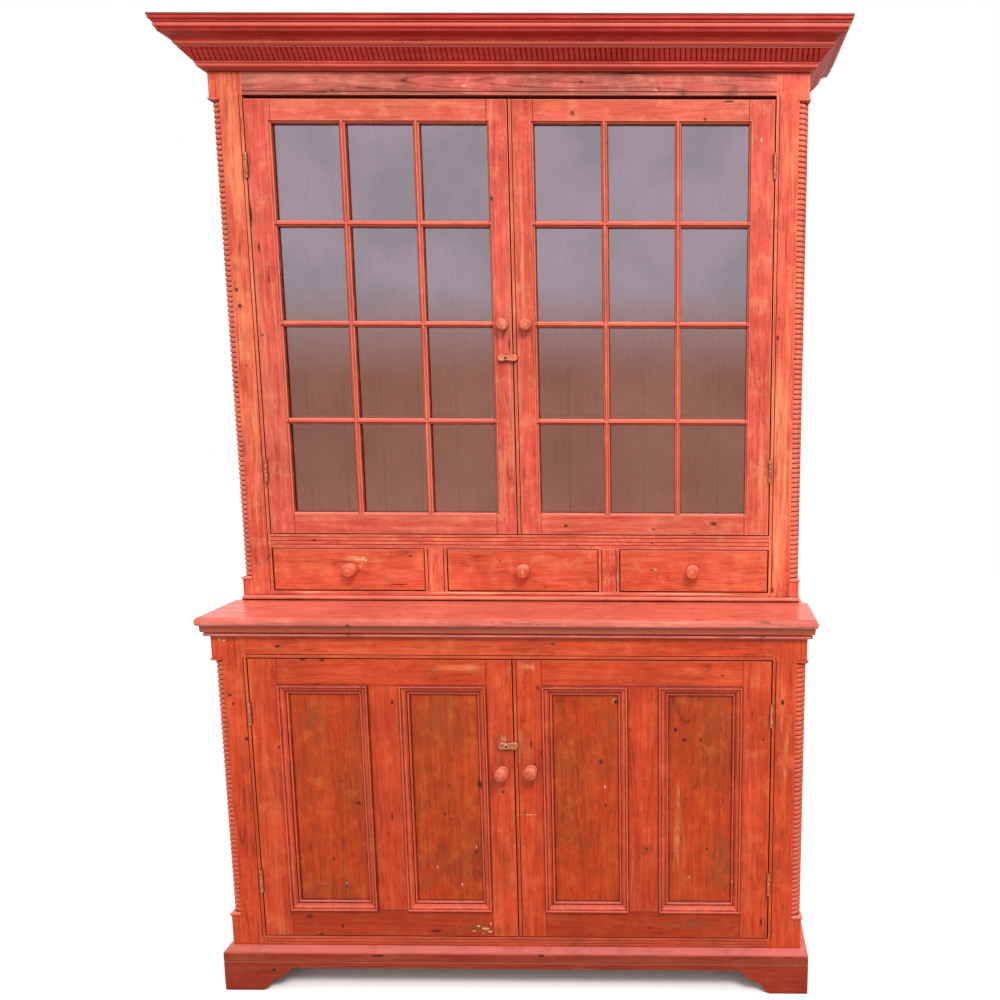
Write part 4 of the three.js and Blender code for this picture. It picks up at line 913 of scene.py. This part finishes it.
def slottedScrew(level, centre, look):
    bm = bmesh.new()
    dome = [(r * look["head"], h * look["rise"]) for r, h in look["dome"]]
    turnProfile(bm, dome, centre, (0, -1, 0), look["steps"])
    bmesh.ops.remove_doubles(bm, verts=bm.verts, dist=weld)
    across = Matrix.Rotation(math.radians(look["tilt"]), 3, "Y") @ Vector((1, 0, 0))
    for offset in (-look["slotLip"], -1, 1, look["slotLip"]):
        bmesh.ops.bisect_plane(bm, geom=bm.verts[:] + bm.edges[:] + bm.faces[:],
                               plane_co=(centre + across * offset * look["slot"]) * mm, plane_no=across)
    reach = look["slot"] * (1 + look["slotLip"]) / 2
    inSlot = [v for v in bm.verts if abs((v.co / mm - centre).dot(across)) < reach
              and v.co.y / mm < centre.y - look["clear"]]
    bmesh.ops.translate(bm, verts=inSlot, vec=(0, look["sink"] * mm, 0))
    addPiece(f"{level}_button_screw", bm, f"{level}_button", screwIron)


def screwAndWasher(level, look):
    low, high = (Vector(c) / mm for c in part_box(f"{level}_turn_button"))
    centre = Vector((look["x"][level], low.y, (low.z + high.z) / 2))
    dishedWasher(level, centre, look)
    slottedScrew(level, centre - Vector((0, look["thick"] * look["dish"], 0)), look)


for level in ("upper", "lower"):
    screwAndWasher(level, buttonScrew)
print("screws and washers on the turn buttons")

# Butt hinge: five knuckles on a pin with a small ball at each end, a leaf in the case and one on the
# door, mm. The ball's turning is in shares of its height.
buttHinge = {"x": 575.5, "y": {"upper": -14.95, "lower": -161.95}, "radius": 3.3, "knuckles": 5,
             "groove": 0.5, "ball": 2.2, "turning": ((0, 0), (0.6, 0.25), (0.75, 0.6), (0.5, 1)),
             "leaf": 1.1, "leafDepth": 20, "caseLeaf": 575.35, "doorLeaf": 574.05, "doorLeafThick": 0.9,
             "clear": 3.6, "steps": 16}


def plate(bm, low, high):
    made = bmesh.ops.create_cube(bm, size=1)["verts"]
    size = [abs(b - a) * mm for a, b in zip(low, high)]
    bmesh.ops.scale(bm, vec=size, verts=made)
    bmesh.ops.translate(bm, vec=(Vector(low) + Vector(high)) / 2 * mm, verts=made)
    return made


def knucklePoints(look, length):
    r, g, b = look["radius"], look["groove"], look["ball"]
    pitch = (length - 2 * b) / look["knuckles"]
    ball = [(b * x, b * z) for x, z in look["turning"]]
    points = ball[:]
    for i in range(look["knuckles"]):
        z0, z1 = b + i * pitch, b + (i + 1) * pitch
        points += [(r - g, z0), (r, z0 + g), (r, z1 - g), (r - g, z1)]
    return points + [(x, length - z) for x, z in reversed(ball)]


def hinge(level, word, side, end, look):
    node = f"{level}_{word}_hinge_{end}"
    low, high = (Vector(c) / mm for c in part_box(node))
    y = look["y"][level]
    foot, top = low.z + look["ball"], high.z - look["ball"]
    bm = bmesh.new()
    profile = knucklePoints(look, high.z - low.z)
    turnProfile(bm, profile, (side * look["x"], y, low.z), (0, 0, 1), look["steps"])
    x = side * look["caseLeaf"]
    plate(bm, (x, y, foot), (x + side * look["leaf"], y + look["leafDepth"], top))
    addPiece("butt_" + node, bm, "case", hingeIron, [node], smooth=30)
    bm = bmesh.new()
    x = side * look["doorLeaf"]
    plate(bm, (x, y + look["clear"], foot), (x + side * look["doorLeafThick"], y + look["leafDepth"], top))
    addPiece("door_leaf_" + node, bm, f"{level}_{word}_door", hingeIron, smooth=30)


for word, side in sides:
    for level in ("upper", "lower"):
        for end in ("top", "bottom"):
            hinge(level, word, side, end, buttHinge)
print("hinges with knuckles and leaves")

# Twelve small panes to a door, each cut and puttied in by itself, so that none lies quite true. The
# phases make every pane lean its own way.
panes = {"lap": 4, "thick": 2.2, "lean": 0.14, "phases": (5, 3, 4)}


def glazedDoor(word, side, look):
    node = f"upper_{word}_door_glass"
    low, high = (Vector(c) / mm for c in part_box(node))
    d = upperDoor
    across, up = d["lights"]
    width, height = lightPitch()
    y = (low.y + high.y) / 2
    a, b, c = look["phases"]
    half = Vector((width / 2 - d["barHalf"] + look["lap"], look["thick"] / 2,
                   height / 2 - d["barHalf"] + look["lap"]))
    bm = bmesh.new()
    for i in range(across):
        for j in range(up):
            centre = Vector((side * (d["near"] + (i + 0.5) * width - d["barHalf"]), y,
                             d["low"] + (j + 0.5) * height - d["barHalf"]))
            made = plate(bm, centre - half, centre + half)
            lean = math.radians(look["lean"]) * math.sin(a * i + b * j + side)
            turn = Matrix.Rotation(lean, 3, "X") @ Matrix.Rotation(lean * math.cos(c * j + i), 3, "Z")
            bmesh.ops.rotate(bm, verts=made, cent=centre * mm, matrix=turn)
    addPiece(f"panes_{word}", bm, f"upper_{word}_door", paneGlass, [node], smooth=0)


paneGlass = oldGlass("old drawn glass", glassLook)
for word, side in sides:
    glazedDoor(word, side, panes)
print("panes set")


# Floor, sky and light

# The floor is white to the camera and in reflections only. Sky: from, to, strength above and below.
stageLook = {"floor": 9.0, "colour": "#fbfaf8", "bounce": "#8c8680", "sky": (-0.1, 0.9, 1.6, 0.5),
             "keyPower": 190, "keyPlace": (1.5, -3.2, 4.6), "keyTarget": (0, 0, 1.1), "keySize": 1.6}


def seenRays(tree):
    path = addNode(tree, "LightPath").outputs
    seen = combined(tree, path["Is Camera Ray"], path["Is Glossy Ray"])
    return combined(tree, seen, path["Is Transmission Ray"])


def paleFloor(look):
    bm = bmesh.new()
    bmesh.ops.create_grid(bm, x_segments=1, y_segments=1, size=look["floor"] / 2)
    mesh = bpy.data.meshes.new("floor")
    bm.to_mesh(mesh)
    bm.free()
    floor = bpy.data.objects.new("floor", mesh)
    bpy.context.scene.collection.objects.link(floor)
    material, tree = newMaterial("pale floor")
    shown = addNode(tree, "BsdfDiffuse", {0: hexColour(look["colour"])}).outputs[0]
    bounce = addNode(tree, "BsdfDiffuse", {0: hexColour(look["bounce"])}).outputs[0]
    both = addNode(tree, "MixShader", {0: seenRays(tree), 1: bounce, 2: shown})
    addNode(tree, "OutputMaterial", {0: both.outputs[0]})
    mesh.materials.append(material)


# White where it is seen, and for the light a sky that is brightest above
def studioWorld(look):
    world = bpy.data.worlds.new("studio")
    bpy.context.scene.world = world
    world.use_nodes = True
    tree = world.node_tree
    tree.nodes.clear()
    up = axes(tree, addNode(tree, "TexCoord").outputs["Generated"])[2]
    lit = addNode(tree, "Background", {0: [1, 1, 1, 1], 1: ramped(tree, up, *look["sky"])})
    white = addNode(tree, "Background", {0: [1, 1, 1, 1], 1: 1.0})
    both = addNode(tree, "MixShader", {0: seenRays(tree), 1: lit.outputs[0], 2: white.outputs[0]})
    addNode(tree, "OutputWorld", {0: both.outputs[0]})


def keyLamp(look):
    data = bpy.data.lights.new("key lamp", "AREA")
    data.shape = "DISK"
    data.size = look["keySize"]
    data.energy = look["keyPower"]
    lamp = bpy.data.objects.new("key lamp", data)
    lamp.location = look["keyPlace"]
    towards = Vector(look["keyTarget"]) - lamp.location
    lamp.rotation_euler = towards.to_track_quat("-Z", "Y").to_euler()
    bpy.context.scene.collection.objects.link(lamp)


paleFloor(stageLook)
studioWorld(stageLook)
keyLamp(stageLook)
bpy.context.scene.view_settings.view_transform = "Standard"
print("stage and light")
